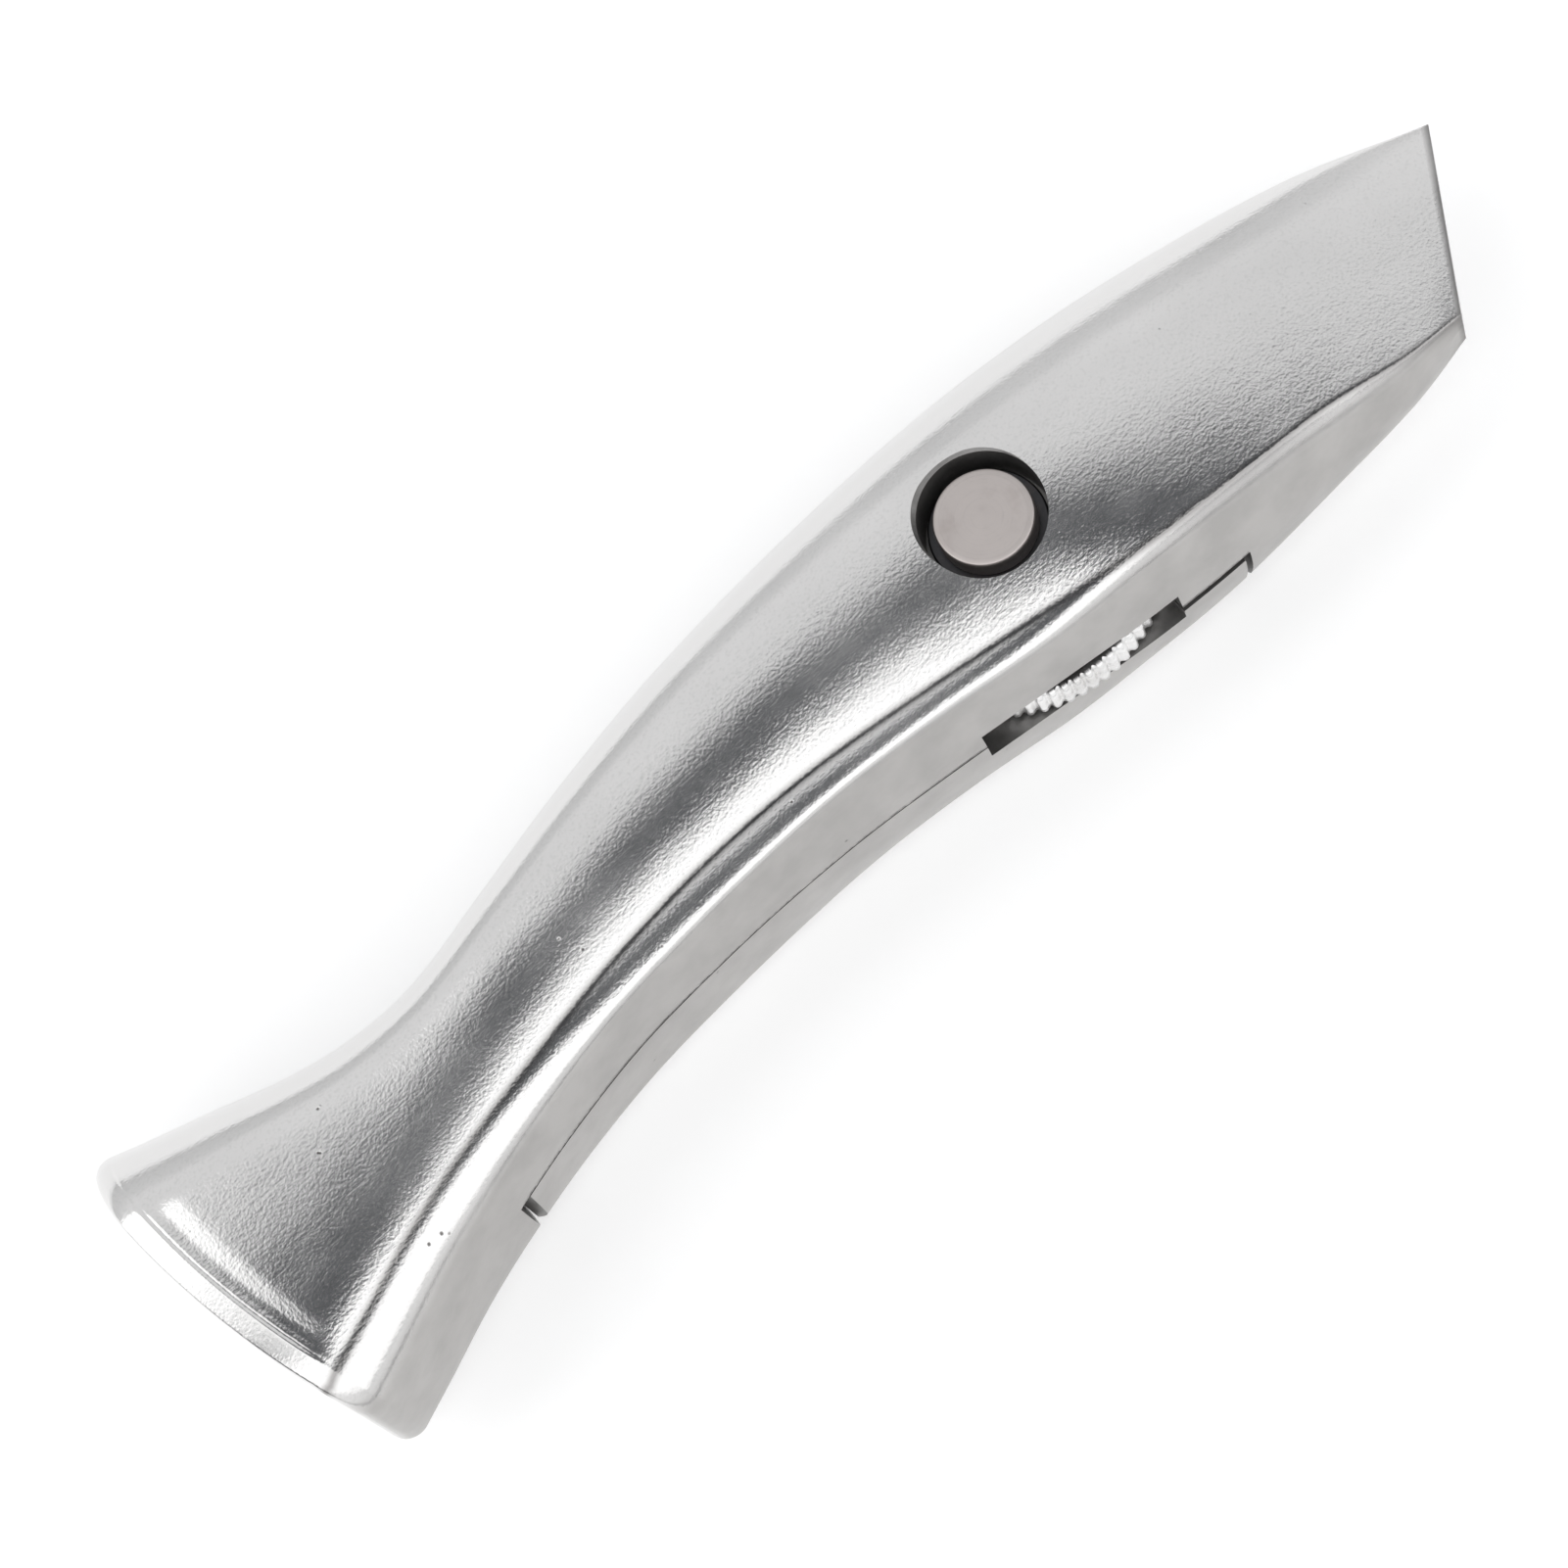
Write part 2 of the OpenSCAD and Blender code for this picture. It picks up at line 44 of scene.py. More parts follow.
# ---------------------------------------------------------------- outline tables, as in part.scad (mm)
# Outlines of the back and of the underside, as x, y.
BACK = [[-118, 17.7], [-112, 15.4], [-104, 12.7], [-96, 9.9], [-88, 8.1], [-79, 7.9],
        [-67, 10.6], [-54, 13.7], [-38, 16.6], [-20, 18.3], [0, 18.9], [16, 18.1], [34, 15.6],
        [52, 11.5], [67.2, 5.4]]
UNDER = [[-111.2, -28.7], [-103, -25.3], [-95, -21.9], [-86, -18.9], [-76, -16.2], [-65, -14.1],
         [-54, -13.2], [-43, -12.9], [-31, -13.3], [-18, -14.6], [-4, -16.3], [8, -17.7],
         [19, -18.2], [32, -18], [44, -17.3], [53.2, -15.6]]
# By place along the knife: half thickness at the crown of the side, and height of the crease.
CROWN = [[-114.6, 14.5], [-104, 13.9], [-90, 13.1], [-72, 13.3], [-45, 14.0], [-12, 14.6],
         [6, 14.4], [22, 12.5], [36, 9.3], [48, 5.8], [60, 2.1], [68, 0.9]]
RIM = [[-114.6, 11.1], [-95, 11.15], [-75, 11.25], [-50, 11.7], [-20, 11.75], [0, 11.9],
       [10, 12.0], [20, 11.4], [32, 9.5], [44, 6.6], [60, 1.9]]
# Distance of the crease from the underside.
CREASE = [[-114.6, 5.5], [-99, 5.2], [-89, 5.0], [-69, 4.3], [-48, 4.9], [-28, 5.0], [2, 4.0],
          [14, 3.4], [27, 3.3], [40, 3.2], [51, 1.9], [60, 0.6]]
# Lean of the shelf outside the crease, in degrees: beside the crease, then at its outer edge.
LEAN_IN = [[-114.6, 10], [-85, 8], [-60, 2], [-30, -2], [-5, 0], [12, 8], [30, 12], [60, 14]]
LEAN_OUT = [[-114.6, 32], [-85, 28], [-60, 16], [-30, 13], [-5, 16], [12, 28], [30, 34], [60, 34]]
# Radius of that outer edge, and how far the underside wall draws in between the parting plane and it.
EDGE_R = [[-114.6, 3.5], [-85, 2.6], [-60, 1.4], [-10, 1.4], [10, 2.8], [30, 4.2], [45, 3.0],
          [60, 0.5]]
SWELL = [[-114.6, 0.3], [-75, 0.3], [-60, 0.4], [-45, 0.7], [-31, 1.2], [-18, 1.4], [-4, 1.1],
         [8, 1.7], [20, 1.6], [32, 1.35], [44, 0.9], [60, 0.15]]
# Place of the crown as a share of the width, and how the side falls away from it towards the crease.
CROWN_AT = [[-114.6, 0.72], [-90, 0.69], [-60, 0.66], [60, 0.66]]
SIDE_POWER = [[-114.6, 1.35], [-95, 1.4], [-75, 1.8], [-55, 2.1], [60, 2.0]]
# Quick rise of the side just inside the crease, and the distance it takes.
DIP = [[-114.6, 0.6], [-95, 0.5], [-75, 0.2], [-50, 0], [60, 0]]
DIP_REACH = 2.5
MID_TAIL = (BACK[0][0] + UNDER[0][0]) / 2
MID_NOSE = (BACK[-1][0] + UNDER[-1][0]) / 2
TAIL_LEAN = (BACK[0][0] - UNDER[0][0]) / 2
NOSE_LEAN = (BACK[-1][0] - UNDER[-1][0]) / 2
TAIL_EDGE = 1.5    # height of the bevel round the tail's end
TAIL_ROUND = 2.4   # rounding of the tail's corners in plan
TAIL_BULGE = 2.7   # how far the tail's end bows outwards
EDGE_ROUND = 0.6   # small round at the foot of the bevel
BEVEL_END = 2.4    # distance from the tail's end to the top of the bevel
BACK_POWER = 1.7   # roundness of the back
SEAM_GAP = 0.2
NOSE_SHARE = 0.6   # how far the nose thins towards its tip
WALL_LEAN = 2.4    # steepness of the underside wall at its edge, from its swell
FILLET = 0.22      # softening of every corner of a section
RING_POINTS = 84
BODY_STEPS = 190
# The groove beside the bead at the tail's end, and the hollow behind it: place, width and depth.
TAIL_HOLLOWS = ((2.75, 0.22, 0.10), (3.9, 1.1, 0.22))


def slope(t, i):
    a, b = max(i - 1, 0), min(i + 1, len(t) - 1)
    return (t[b][1] - t[a][1]) / (t[b][0] - t[a][0])


def read(t, x):
    """Smooth curve through a table, read at x."""
    i = 0
    while i < len(t) - 2 and x >= t[i + 1][0]:
        i += 1
    h = t[i + 1][0] - t[i][0]
    u = min(max((x - t[i][0]) / h, 0), 1)
    return (t[i][1] * (1 + 2 * u) * (1 - u) ** 2 + slope(t, i) * h * u * (1 - u) ** 2
            + t[i + 1][1] * u * u * (3 - 2 * u) - slope(t, i + 1) * h * u * u * (1 - u))


def ease(u):
    v = min(max(u, 0), 1)
    return v * v * (3 - 2 * v)


def lean(m):
    return TAIL_LEAN * ease((-84 - m) / 30) + NOSE_LEAN * ease((m - 8) / 52)


def ends(m):
    a, b = m - lean(m), m + lean(m)
    return np.array([a, read(UNDER, a)]), np.array([b, read(BACK, b)])


def profile(m, w, count):
    """Near half of a section: distance across and height, from the underside to the back."""
    crown, rim, r, fold = read(CROWN, m), read(RIM, m), read(EDGE_R, m), read(CREASE, m)
    a, b = math.radians(read(LEAN_IN, m)), math.radians(read(LEAN_OUT, m))
    power, dip, swell = read(SIDE_POWER, m), read(DIP, m), read(SWELL, m)
    top = w * read(CROWN_AT, m)
    steep = math.pi / 2 - math.atan(WALL_LEAN * swell / rim)
    shelf = fold - swell - r * (math.sin(steep) - math.sin(b))
    edge_z = rim - shelf * (math.tan(a) + math.tan(b)) / 2
    wall_z = edge_z - r * (math.cos(b) - math.cos(steep))
    u = np.linspace(0, 1, 60)[:-1]
    pts = [np.stack([swell * u * u, wall_z * u], 1)]
    t = np.linspace(steep, b, 60)
    pts.append(np.stack([fold - shelf - r * (np.sin(t) - math.sin(b)),
                         edge_z - r * (math.cos(b) - np.cos(t))], 1))
    u = np.linspace(1, 0, 40)[1:]
    sag = math.tan(a) * u + (math.tan(b) - math.tan(a)) * u * u / 2
    pts.append(np.stack([fold - shelf * u, rim - shelf * sag], 1))
    u = np.linspace(0, 1, 140)[1:]
    d = fold + (top - fold) * u
    rise = dip * (1 - np.exp(-(d - fold) / DIP_REACH))
    pts.append(np.stack([d, rim + rise + (crown - rim - dip) * (1 - (1 - u) ** power)], 1))
    t = np.radians(np.linspace(0, 90, 140))[1:]
    pts.append(np.stack([top + (w - top) * np.sin(t) ** (2 / BACK_POWER),
                         crown * np.maximum(np.cos(t), 0) ** (2 / BACK_POWER)], 1))
    p = np.concatenate(pts)
    # even spacing, a soft fillet everywhere, then more points near the rim and the crease
    step = np.linalg.norm(np.diff(p, axis=0), axis=1)
    arc = np.concatenate([[0], np.cumsum(step)])
    n = 700
    even = np.linspace(0, arc[-1], n)
    q = np.stack([np.interp(even, arc, p[:, 0]), np.interp(even, arc, p[:, 1])], 1)
    sigma = FILLET * min(1, crown / 6) * n / arc[-1]
    k = np.arange(-int(3 * sigma) - 1, int(3 * sigma) + 2)
    g = np.exp(-0.5 * (k / max(sigma, 1e-3)) ** 2)
    g /= g.sum()
    pad = len(k) // 2
    head = q[1:pad + 1][::-1] * [1, -1]
    tail = q[-pad - 1:-1][::-1] * [1, -1]
    ext = np.concatenate([head, q, tail])
    q = np.stack([np.convolve(ext[:, 0], g, "valid"), np.convolve(ext[:, 1], g, "valid")], 1)
    q[0, 1] = 0
    q[-1] = [w, 0]
    at_fold = even[np.argmin(np.abs(q[:, 0] - fold) + (q[:, 1] < rim * 0.8) * 99)]
    dens = 1 + 2.6 * np.exp(-((even - at_fold + 1) / 3.2) ** 2)
    dens = dens + 1.2 * np.exp(-((even - arc[-1]) / 3) ** 2)
    cum = np.concatenate([[0], np.cumsum((dens[1:] + dens[:-1]) / 2)])
    pick = np.interp(np.linspace(0, cum[-1], count), cum, even)
    return np.interp(pick, even, q[:, 0]), np.interp(pick, even, q[:, 1])


def ring(m, inset, drop):
    """One section of the skin, drawn in by inset all round its plan and lowered by drop at its crown."""
    p, q = ends(m)
    w = np.linalg.norm(q - p)
    bulge = TAIL_BULGE * ease((-95 - m) / 19)
    d, z = profile(m, w, RING_POINTS)
    z = z * (1 - drop / LIFT)
    d = inset + d * (w - 2 * inset) / w
    f = d / w
    k = NOSE_SHARE * ease((m - 8) / 52) * lean(m)
    z = z * np.array([read(CROWN, m + k * (2 * g - 1)) for g in f]) / read(CROWN, m)
    # the raised bead along the tail's end shows as a groove and a hollow beside it
    edge = m - MID_TAIL
    on_side = np.clip((f - 0.12) / 0.1, 0, 1) * np.clip((0.97 - f) / 0.1, 0, 1)
    hollow = sum(deep * math.exp(-((edge - place) / wide) ** 2) for place, wide, deep in TAIL_HOLLOWS)
    z = z - on_side * hollow
    x = p[0] + (q[0] - p[0]) * f - bulge * 4 * f * (1 - f)
    y = p[1] + (q[1] - p[1]) * f
    near = np.stack([x, y, z], 1)
    far = near[1:-1][::-1] * [1, 1, -1]
    return np.concatenate([near, far])


def make(name, verts, faces):
    """Makes an object from points in mm about the screw axis at the parting plane."""
    me = bpy.data.meshes.new(name)
    v = (np.asarray(verts, float) + [0, 0, LIFT]) * MM
    me.from_pydata(v.tolist(), [], faces)
    me.validate()
    o = bpy.data.objects.new(name, me)
    bpy.context.scene.collection.objects.link(o)
    return o


def tail_stations():
    """The tail's edge: rounded in plan, and in height a small round, the polished bevel and its end."""
    turn, turns, fine = 11, 6, 2.35
    edge = [EDGE_ROUND * (1 - math.cos(math.radians(turn * i))) for i in range(turns + 1)]
    foot = edge[-1]
    edge += [foot + (fine - foot) * i / 10 for i in range(1, 11)]
    edge += [fine + 0.09 * i for i in range(1, 15)]
    stations = []
    for e in edge:
        inset = TAIL_ROUND * (1 - math.sqrt(max(0, 1 - (1 - min(e / TAIL_ROUND, 1)) ** 2)))
        if e <= foot:
            drop = TAIL_EDGE - EDGE_ROUND * math.sqrt(max(0, 1 - (1 - e / EDGE_ROUND) ** 2))
        else:
            left = TAIL_EDGE - EDGE_ROUND * math.sin(math.radians(turn * turns))
            drop = max(0, (BEVEL_END - e) / (BEVEL_END - foot)) * left
        stations.append((MID_TAIL + e, inset, drop))
    return stations


def skin(name):
    """The whole handle's outer surface, closed at both ends."""
    stations = tail_stations()
    start = stations[-1][0]
    stations += [(start + (MID_NOSE - start) * i / BODY_STEPS, 0, 0) for i in range(1, BODY_STEPS + 1)]
    rows = [ring(m, inset, drop) for m, inset, drop in stations]
    n = len(rows[0])
    faces = []
    for j in range(len(rows) - 1):
        for i in range(n):
            a, b = j * n + i, j * n + (i + 1) % n
            faces.append((a, a + n, b + n, b))
    last = (len(rows) - 1) * n
    for o, flip in ((0, False), (last, True)):
        for i in range(RING_POINTS - 1):
            a, b = o + i, o + i + 1
            c, d = o + (n - i - 1) % n, o + (n - i) % n
            f = (a, b, d) if i == RING_POINTS - 2 else (a, b, c) if i == 0 else (a, b, c, d)
            faces.append(f[::-1] if flip else f)
    return make(name, np.concatenate(rows), faces)


# ---------------------------------------------------------------- cutters (mm, parting-plane frame)


def prism(points, low, high, name="cut"):
    n = len(points)
    v = [(x, y, low) for x, y in points] + [(x, y, high) for x, y in points]
    pairs = [(points[i], points[(i + 1) % n]) for i in range(n)]
    area = sum(p[0] * q[1] - q[0] * p[1] for p, q in pairs)
    if area < 0:
        v = v[:n][::-1] + v[n:][::-1]
    f = [tuple(range(n))[::-1], tuple(range(n, 2 * n))]
    f += [(i, (i + 1) % n, n + (i + 1) % n, n + i) for i in range(n)]
    return make(name, v, f)


def lathe(line, steps=128, name="cut"):
    """Closed solid of revolution about Z from (radius, height) points that start and end on the axis."""
    v, f = [], []
    idx = []
    for r, z in line:
        if r < 1e-6:
            idx.append([len(v)])
            v.append((0, 0, z))
        else:
            idx.append(list(range(len(v), len(v) + steps)))
            v += [(r * math.cos(2 * math.pi * i / steps), r * math.sin(2 * math.pi * i / steps), z)
                  for i in range(steps)]
    for a, b in zip(idx, idx[1:]):
        for i in range(steps):
            k = (i + 1) % steps
            if len(a) == 1 and len(b) == 1:
                continue
            if len(a) == 1:
                f.append((a[0], b[k], b[i]))
            elif len(b) == 1:
                f.append((a[i], a[k], b[0]))
            else:
                f.append((a[i], a[k], b[k], b[i]))
    return make(name, v, f)


def rod(r, low, high, steps=128):
    return lathe([(0, low), (r, low), (r, high), (0, high)], steps)


def tube(line, steps=128, name="ring"):
    """Closed ring of revolution about Z: the (radius, height) points form a loop off the axis."""
    v = [(r * math.cos(2 * math.pi * i / steps), r * math.sin(2 * math.pi * i / steps), z)
         for r, z in line for i in range(steps)]
    f = []
    n = len(line)
    for j in range(n):
        for i in range(steps):
            k = (i + 1) % steps
            a, b = j * steps, ((j + 1) % n) * steps
            f.append((a + i, a + k, b + k, b + i))
    return make(name, v, f)


def moved(o, matrix):
    o.data.transform(matrix)
    return o


def placed(x, y, z, rotation):
    """Turns something drawn about the screw axis at the parting plane, then moves it."""
    lift = Matrix.Translation((0, 0, LIFT * MM))
    return lift @ Matrix.Translation((x * MM, y * MM, z * MM)) @ rotation @ lift.inverted()


def at(x, y, z, turn=0.0):
    return placed(x, y, z, Matrix.Rotation(math.radians(turn), 4, "Z"))


def lying(x, y, z):
    """Also turns the Z axis to +Y."""
    return placed(x, y, z, Matrix.Rotation(math.radians(-90), 4, "X"))


def boolean(o, cutter, op="DIFFERENCE"):
    """Applies a boolean; the exact solver steps in where the fast one returns nothing."""
    mod = o.modifiers.new("b", "BOOLEAN")
    mod.operation = op
    mod.object = cutter
    for solver in ("MANIFOLD", "EXACT"):
        mod.solver = solver
        dg = bpy.context.evaluated_depsgraph_get()
        me = bpy.data.meshes.new_from_object(o.evaluated_get(dg))
        if len(me.polygons) >= 4:
            break
    o.modifiers.clear()
    old = o.data
    o.data = me
    bpy.data.meshes.remove(old)
    bpy.data.objects.remove(cutter)
    return o


def box_plan(x0, y0, x1, y1):
    return [(x0, y0), (x1, y0), (x1, y1), (x0, y1)]


def round_plan(l, w, r, n=10):
    """Rectangle with rounded corners, centred on the origin."""
    out = []
    for sx, sy, start in ((1, 1, 0), (-1, 1, 90), (-1, -1, 180), (1, -1, 270)):
        for i in range(n + 1):
            a = math.radians(start + 90 * i / n)
            out.append((sx * (l / 2 - r) + r * math.cos(a), sy * (w / 2 - r) + r * math.sin(a)))
    return out


FAR = 60  # beyond every face of the knife
BEYOND_NOSE = 80
CHAMBER_R, CHAMBER_HALF, CHAMBER_BEVEL = 18, 3.1, 0.7
SLOT_REAR, SLOT_FRONT = -15.5, 10.2
COVER_REAR, TAIL_WALL, COVER_FRONT = -85.5, -85.8, 18.8
SEAT_TURN, SEAT_LOW, BLADE_AT = -6, (54.2, -14.15), (44, -3.5)
MAGAZINE_AT, MAGAZINE_TURN = (-51.2, -0.6), 7.3
HINGE_X, HINGE_Z, HINGE_Y = -87.3, -10.2, -5.5
PIN_R, KNUCKLE_R, KNUCKLE_HALF = 1.2, 2.25, 4.5
POCKET_HALF = 4.8      # half width of the space for the knuckle
PLAY = 0.5             # room round the knuckle
PIN_FIT = 0.05
SHANK_R = 4
BLADE_L, BLADE_SPINE, BLADE_H, BLADE_T = 61, 33, 19, 0.65
NOTCH_X, NOTCH_W, NOTCH_H = 9.7, 3, 2.4
PEG_R = 1.3
GROOVE_STEP, GROOVE_OVER = 1.5, 0.6


def ledge(x):
    """Height of the blade seat's lower edge, which the cover's front part ends on."""
    return SEAT_LOW[1] + (x - SEAT_LOW[0]) * math.tan(math.radians(SEAT_TURN))


def cover_plan(rear, front, g):
    """What the cover keeps: everything behind its front end, and beyond that the part above the ledge."""
    return [(rear, -FAR), (front, -FAR), (front, ledge(front) + g),
            (BEYOND_NOSE, ledge(BEYOND_NOSE) + g), (BEYOND_NOSE, FAR), (rear, FAR)]


def wheel_space():
    """The wheel's round chamber, and the slot that it shows through."""
    inner = CHAMBER_R - CHAMBER_BEVEL
    low = CHAMBER_HALF - CHAMBER_BEVEL
    chamber = lathe([(0, -CHAMBER_HALF), (inner, -CHAMBER_HALF), (CHAMBER_R, -low), (CHAMBER_R, low),
                     (inner, CHAMBER_HALF), (0, CHAMBER_HALF)])
    return chamber, prism(box_plan(SLOT_REAR, -FAR, SLOT_FRONT, -8), -CHAMBER_HALF, CHAMBER_HALF)


def peg_at(side):
    """Place of a blade peg, in the notch of a blade on its seat."""
    t = math.radians(SEAT_TURN)
    k = BLADE_H / 2 - NOTCH_H + PEG_R
    return (BLADE_AT[0] + side * NOTCH_X * math.cos(t) - k * math.sin(t),
            BLADE_AT[1] + side * NOTCH_X * math.sin(t) + k * math.cos(t))


def in_magazine(z, u=0.0):
    return at(*MAGAZINE_AT, z, MAGAZINE_TURN) @ at(u, 0, 0)


def groove(x0, x1, size):
    """A V-shaped cutter along the parting line of the underside."""
    xs = np.arange(x0, x1 + GROOVE_STEP, GROOVE_STEP)
    v, f = [], []
    for x in xs:
        y = read(UNDER, x)
        high = size + GROOVE_OVER
        v += [(x, y - GROOVE_OVER, high), (x, y + size, 0), (x, y - GROOVE_OVER, -high)]
    n = len(xs)
    for j in range(n - 1):
        for i in range(3):
            a, b = 3 * j + i, 3 * j + (i + 1) % 3
            f.append((a, b, b + 3, a + 3))
    f += [(2, 1, 0), (3 * n - 3, 3 * n - 2, 3 * n - 1)]
    return make("groove", v, f)


def copied(o, name):
    c = o.copy()
    c.data = o.data.copy()
    c.name = name
    bpy.context.scene.collection.objects.link(c)
    return c


def cut_body(body):
    """The upper casting: all of the tail and back, and what the cover leaves of the underside."""
    boolean(body, prism(box_plan(-180, -FAR, 0, FAR), -FAR, -LIFT))
    boolean(body, prism(cover_plan(TAIL_WALL, COVER_FRONT + 0.8, 0), -FAR, 0))
    boolean(body, groove(-85.5, 18.5, 0.42))
    for c in wheel_space():
        boolean(body, c)
    # the counterbore round the screw's face, its soft rim, and the bush's bore
    boolean(body, lathe([(0, 8.5), (7.15, 8.5), (7.15, 14.15), (7.4, 14.4), (13, 20), (0, 20)]))
    boolean(body, rod(5.5, 1, 8.6))
    # the magazine and the magnet's bore
    boolean(body, moved(prism(round_plan(62.4, 19.8, 1), -1, 6), in_magazine(0)))
    boolean(body, moved(moved(rod(5, 5, 9, 64), at(14, 0, 0)), at(*MAGAZINE_AT, 0, MAGAZINE_TURN)))
    # the blade's seat and the pegs' bores
    boolean(body, moved(prism(box_plan(-34.4, 0, 25.6, 19.3), -1, 0.5), at(*SEAT_LOW, 0, SEAT_TURN)))
    for side in (1, -1):
        boolean(body, moved(rod(PEG_R, -1, 3, 48), at(*peg_at(side), 0)))
    # the hinge: the knuckle's pocket and the pin's bore
    boolean(body, prism(box_plan(HINGE_X - KNUCKLE_R - PLAY, HINGE_Y - POCKET_HALF,
                                 HINGE_X + 17, HINGE_Y + POCKET_HALF), -FAR, HINGE_Z + KNUCKLE_R + PLAY))
    boolean(body, moved(rod(PIN_R + PIN_FIT, -14.5, 40, 48), lying(HINGE_X, 0, HINGE_Z)))


def cover_ends():
    """What is cut off the cover's rear end: a slant beside the tail notch, and room to swing."""
    end_x = -83.9
    end_y = read(UNDER, end_x) - 0.3
    slant = prism([(COVER_REAR - 2, end_y + 1.6), (COVER_REAR, end_y + 1.6), (end_x, end_y),
                   (end_x, end_y - 3), (COVER_REAR - 2, end_y - 3)], -FAR, FAR)
    swing = prism([(COVER_REAR - 9, HINGE_Z), (COVER_REAR, HINGE_Z), (COVER_REAR + 1.6, -LIFT + 1),
                   (COVER_REAR + 1.6, -FAR), (COVER_REAR - 9, -FAR)], -FAR, FAR)
    moved(swing, Matrix.Translation((0, 0, -LIFT * MM)))
    moved(swing, Matrix.Translation((0, 0, LIFT * MM)) @ Matrix.Rotation(math.radians(90), 4, "X"))
    return slant, swing


def cut_cover(cover):
    """The lower casting, with its foot under the stud and its hinge knuckle."""
    boolean(cover, groove(-87, 21, 0.2))
    boolean(cover, prism(cover_plan(COVER_REAR, COVER_FRONT, 0.1), -LIFT, -SEAM_GAP), "INTERSECT")
    for c in cover_ends():
        boolean(cover, c)
    boolean(cover, lathe([(0, -LIFT), (5.8, -LIFT), (6, -LIFT + 0.2), (6, -12), (0, -12)]), "UNION")
    boolean(cover, prism(box_plan(HINGE_X, HINGE_Y - KNUCKLE_HALF, COVER_REAR + 3, HINGE_Y + KNUCKLE_HALF),
                         HINGE_Z - 1.9, HINGE_Z + 2.3), "UNION")
    end, soft = KNUCKLE_HALF, KNUCKLE_R - 0.3
    knuckle = lathe([(0, -end), (soft, -end), (KNUCKLE_R, 0.3 - end), (KNUCKLE_R, end - 0.3),
                     (soft, end), (0, end)], 64)
    boolean(cover, moved(knuckle, lying(HINGE_X, HINGE_Y, HINGE_Z)), "UNION")
    for c in wheel_space():
        boolean(cover, c)
    # the stud's hole and the insert's bore
    boolean(cover, rod(4.5, -7.4, 1))
    boolean(cover, rod(5.5, -12.5, -7.3))
    boolean(cover, prism(box_plan(SLOT_FRONT - 1, -FAR, SLOT_FRONT + FAR, -13.5), -1.2, 0.8))
    # room for the leaf spring, and its rivet's bore
    boolean(cover, moved(prism(round_plan(54, 16, 2), -7, 1), in_magazine(0)))
    boolean(cover, moved(moved(rod(1.5, -10, -6, 48), at(-21, 0, 0)), at(*MAGAZINE_AT, 0, MAGAZINE_TURN)))
    for side in (1, -1):
        boolean(cover, moved(rod(1.7, -1.3, 1.7, 48), at(*peg_at(side), 0)))
    boolean(cover, moved(rod(PIN_R + PIN_FIT, -60, 60, 48), lying(HINGE_X, 0, HINGE_Z)))


outer = skin("outer_skin")
body = copied(outer, "body_shell")
cover = copied(outer, "cover_shell")
cut_body(body)
cut_cover(cover)


# ---------------------------------------------------------------- clean shading, and marks for the materials


def triangulated_bvh(o):
    me = o.data
    me.calc_loop_triangles()
    tris = [tuple(t.vertices) for t in me.loop_triangles]
    co = [v.co.copy() for v in me.vertices]
    nor = [n.vector.copy() for n in me.vertex_normals]
    return BVHTree.FromPolygons(co, tris), tris, co, nor


def weights(p, a, b, c):
    v0, v1, v2 = b - a, c - a, p - a
    d00, d01, d11 = v0.dot(v0), v0.dot(v1), v1.dot(v1)
    d20, d21 = v2.dot(v0), v2.dot(v1)
    den = d00 * d11 - d01 * d01
    if abs(den) < 1e-24:
        return 1, 0, 0
    v = (d11 * d20 - d01 * d21) / den
    w = (d00 * d21 - d01 * d20) / den
    return 1 - v - w, v, w


def finish_shell(o, tree_data, angle=28):
    """Takes the outer surface's shading from the uncut skin, and marks the cut faces and the crease,
    which the materials paint dark as shade."""
    me = o.data
    for p in me.polygons:
        p.use_smooth = True
    me.set_sharp_from_angle(angle=math.radians(angle))
    tree, tris, co, nor = tree_data
    base = [n.vector.copy() for n in me.corner_normals]
    cache = {}
    normals, inner = [], []
    for p in me.polygons:
        fn = p.normal
        for li in p.loop_indices:
            vi = me.loops[li].vertex_index
            if vi not in cache:
                hit, _, k, dist = tree.find_nearest(me.vertices[vi].co)
                cache[vi] = None
                if dist < 3e-5:
                    a, b, c = tris[k]
                    wa, wb, wc = weights(hit, co[a], co[b], co[c])
                    cache[vi] = (nor[a] * wa + nor[b] * wb + nor[c] * wc).normalized()
            n = cache[vi]
            outside = n is not None and n.dot(fn) > 0.93
            normals.append(n if outside else base[li])
            inner.append(0.0 if outside else 1.0)
    me.normals_split_custom_set(normals)
    me.attributes.new("inner", "FLOAT", "CORNER").data.foreach_set("value", inner)
    folds = []
    for v in me.vertices:
        x, y, z = v.co.x / MM, v.co.y / MM, abs(v.co.z / MM - LIFT)
        m = x
        for _ in range(3):
            p, q = ends(m)
            f = min(max((y - p[1]) / (q[1] - p[1]), 0), 1)
            m = min(max(x + lean(m) * (1 - 2 * f), MID_TAIL), MID_NOSE)
        d = f * float(np.linalg.norm(q - p)) - read(CREASE, m)
        folds.append(math.exp(-(d / 0.55) ** 2) if z > 0.6 * read(RIM, m) else 0.0)
    me.attributes.new("fold", "FLOAT", "POINT").data.foreach_set("value", folds)


outer.data.shade_smooth()
tree_data = triangulated_bvh(outer)
for o in (body, cover):
    finish_shell(o, tree_data)
bpy.data.objects.remove(outer)


# ---------------------------------------------------------------- the turned, rolled and ground pieces


def settle(o, name, node_name, rides, angle=30):
    """Names a finished piece, smooths it, hides the CAD node it stands for and attaches it to its body."""
    o.name = name
    for p in o.data.polygons:
        p.use_smooth = True
    o.data.set_sharp_from_angle(angle=math.radians(angle))
    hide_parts(node_name)
    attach(o, rides)
    return o


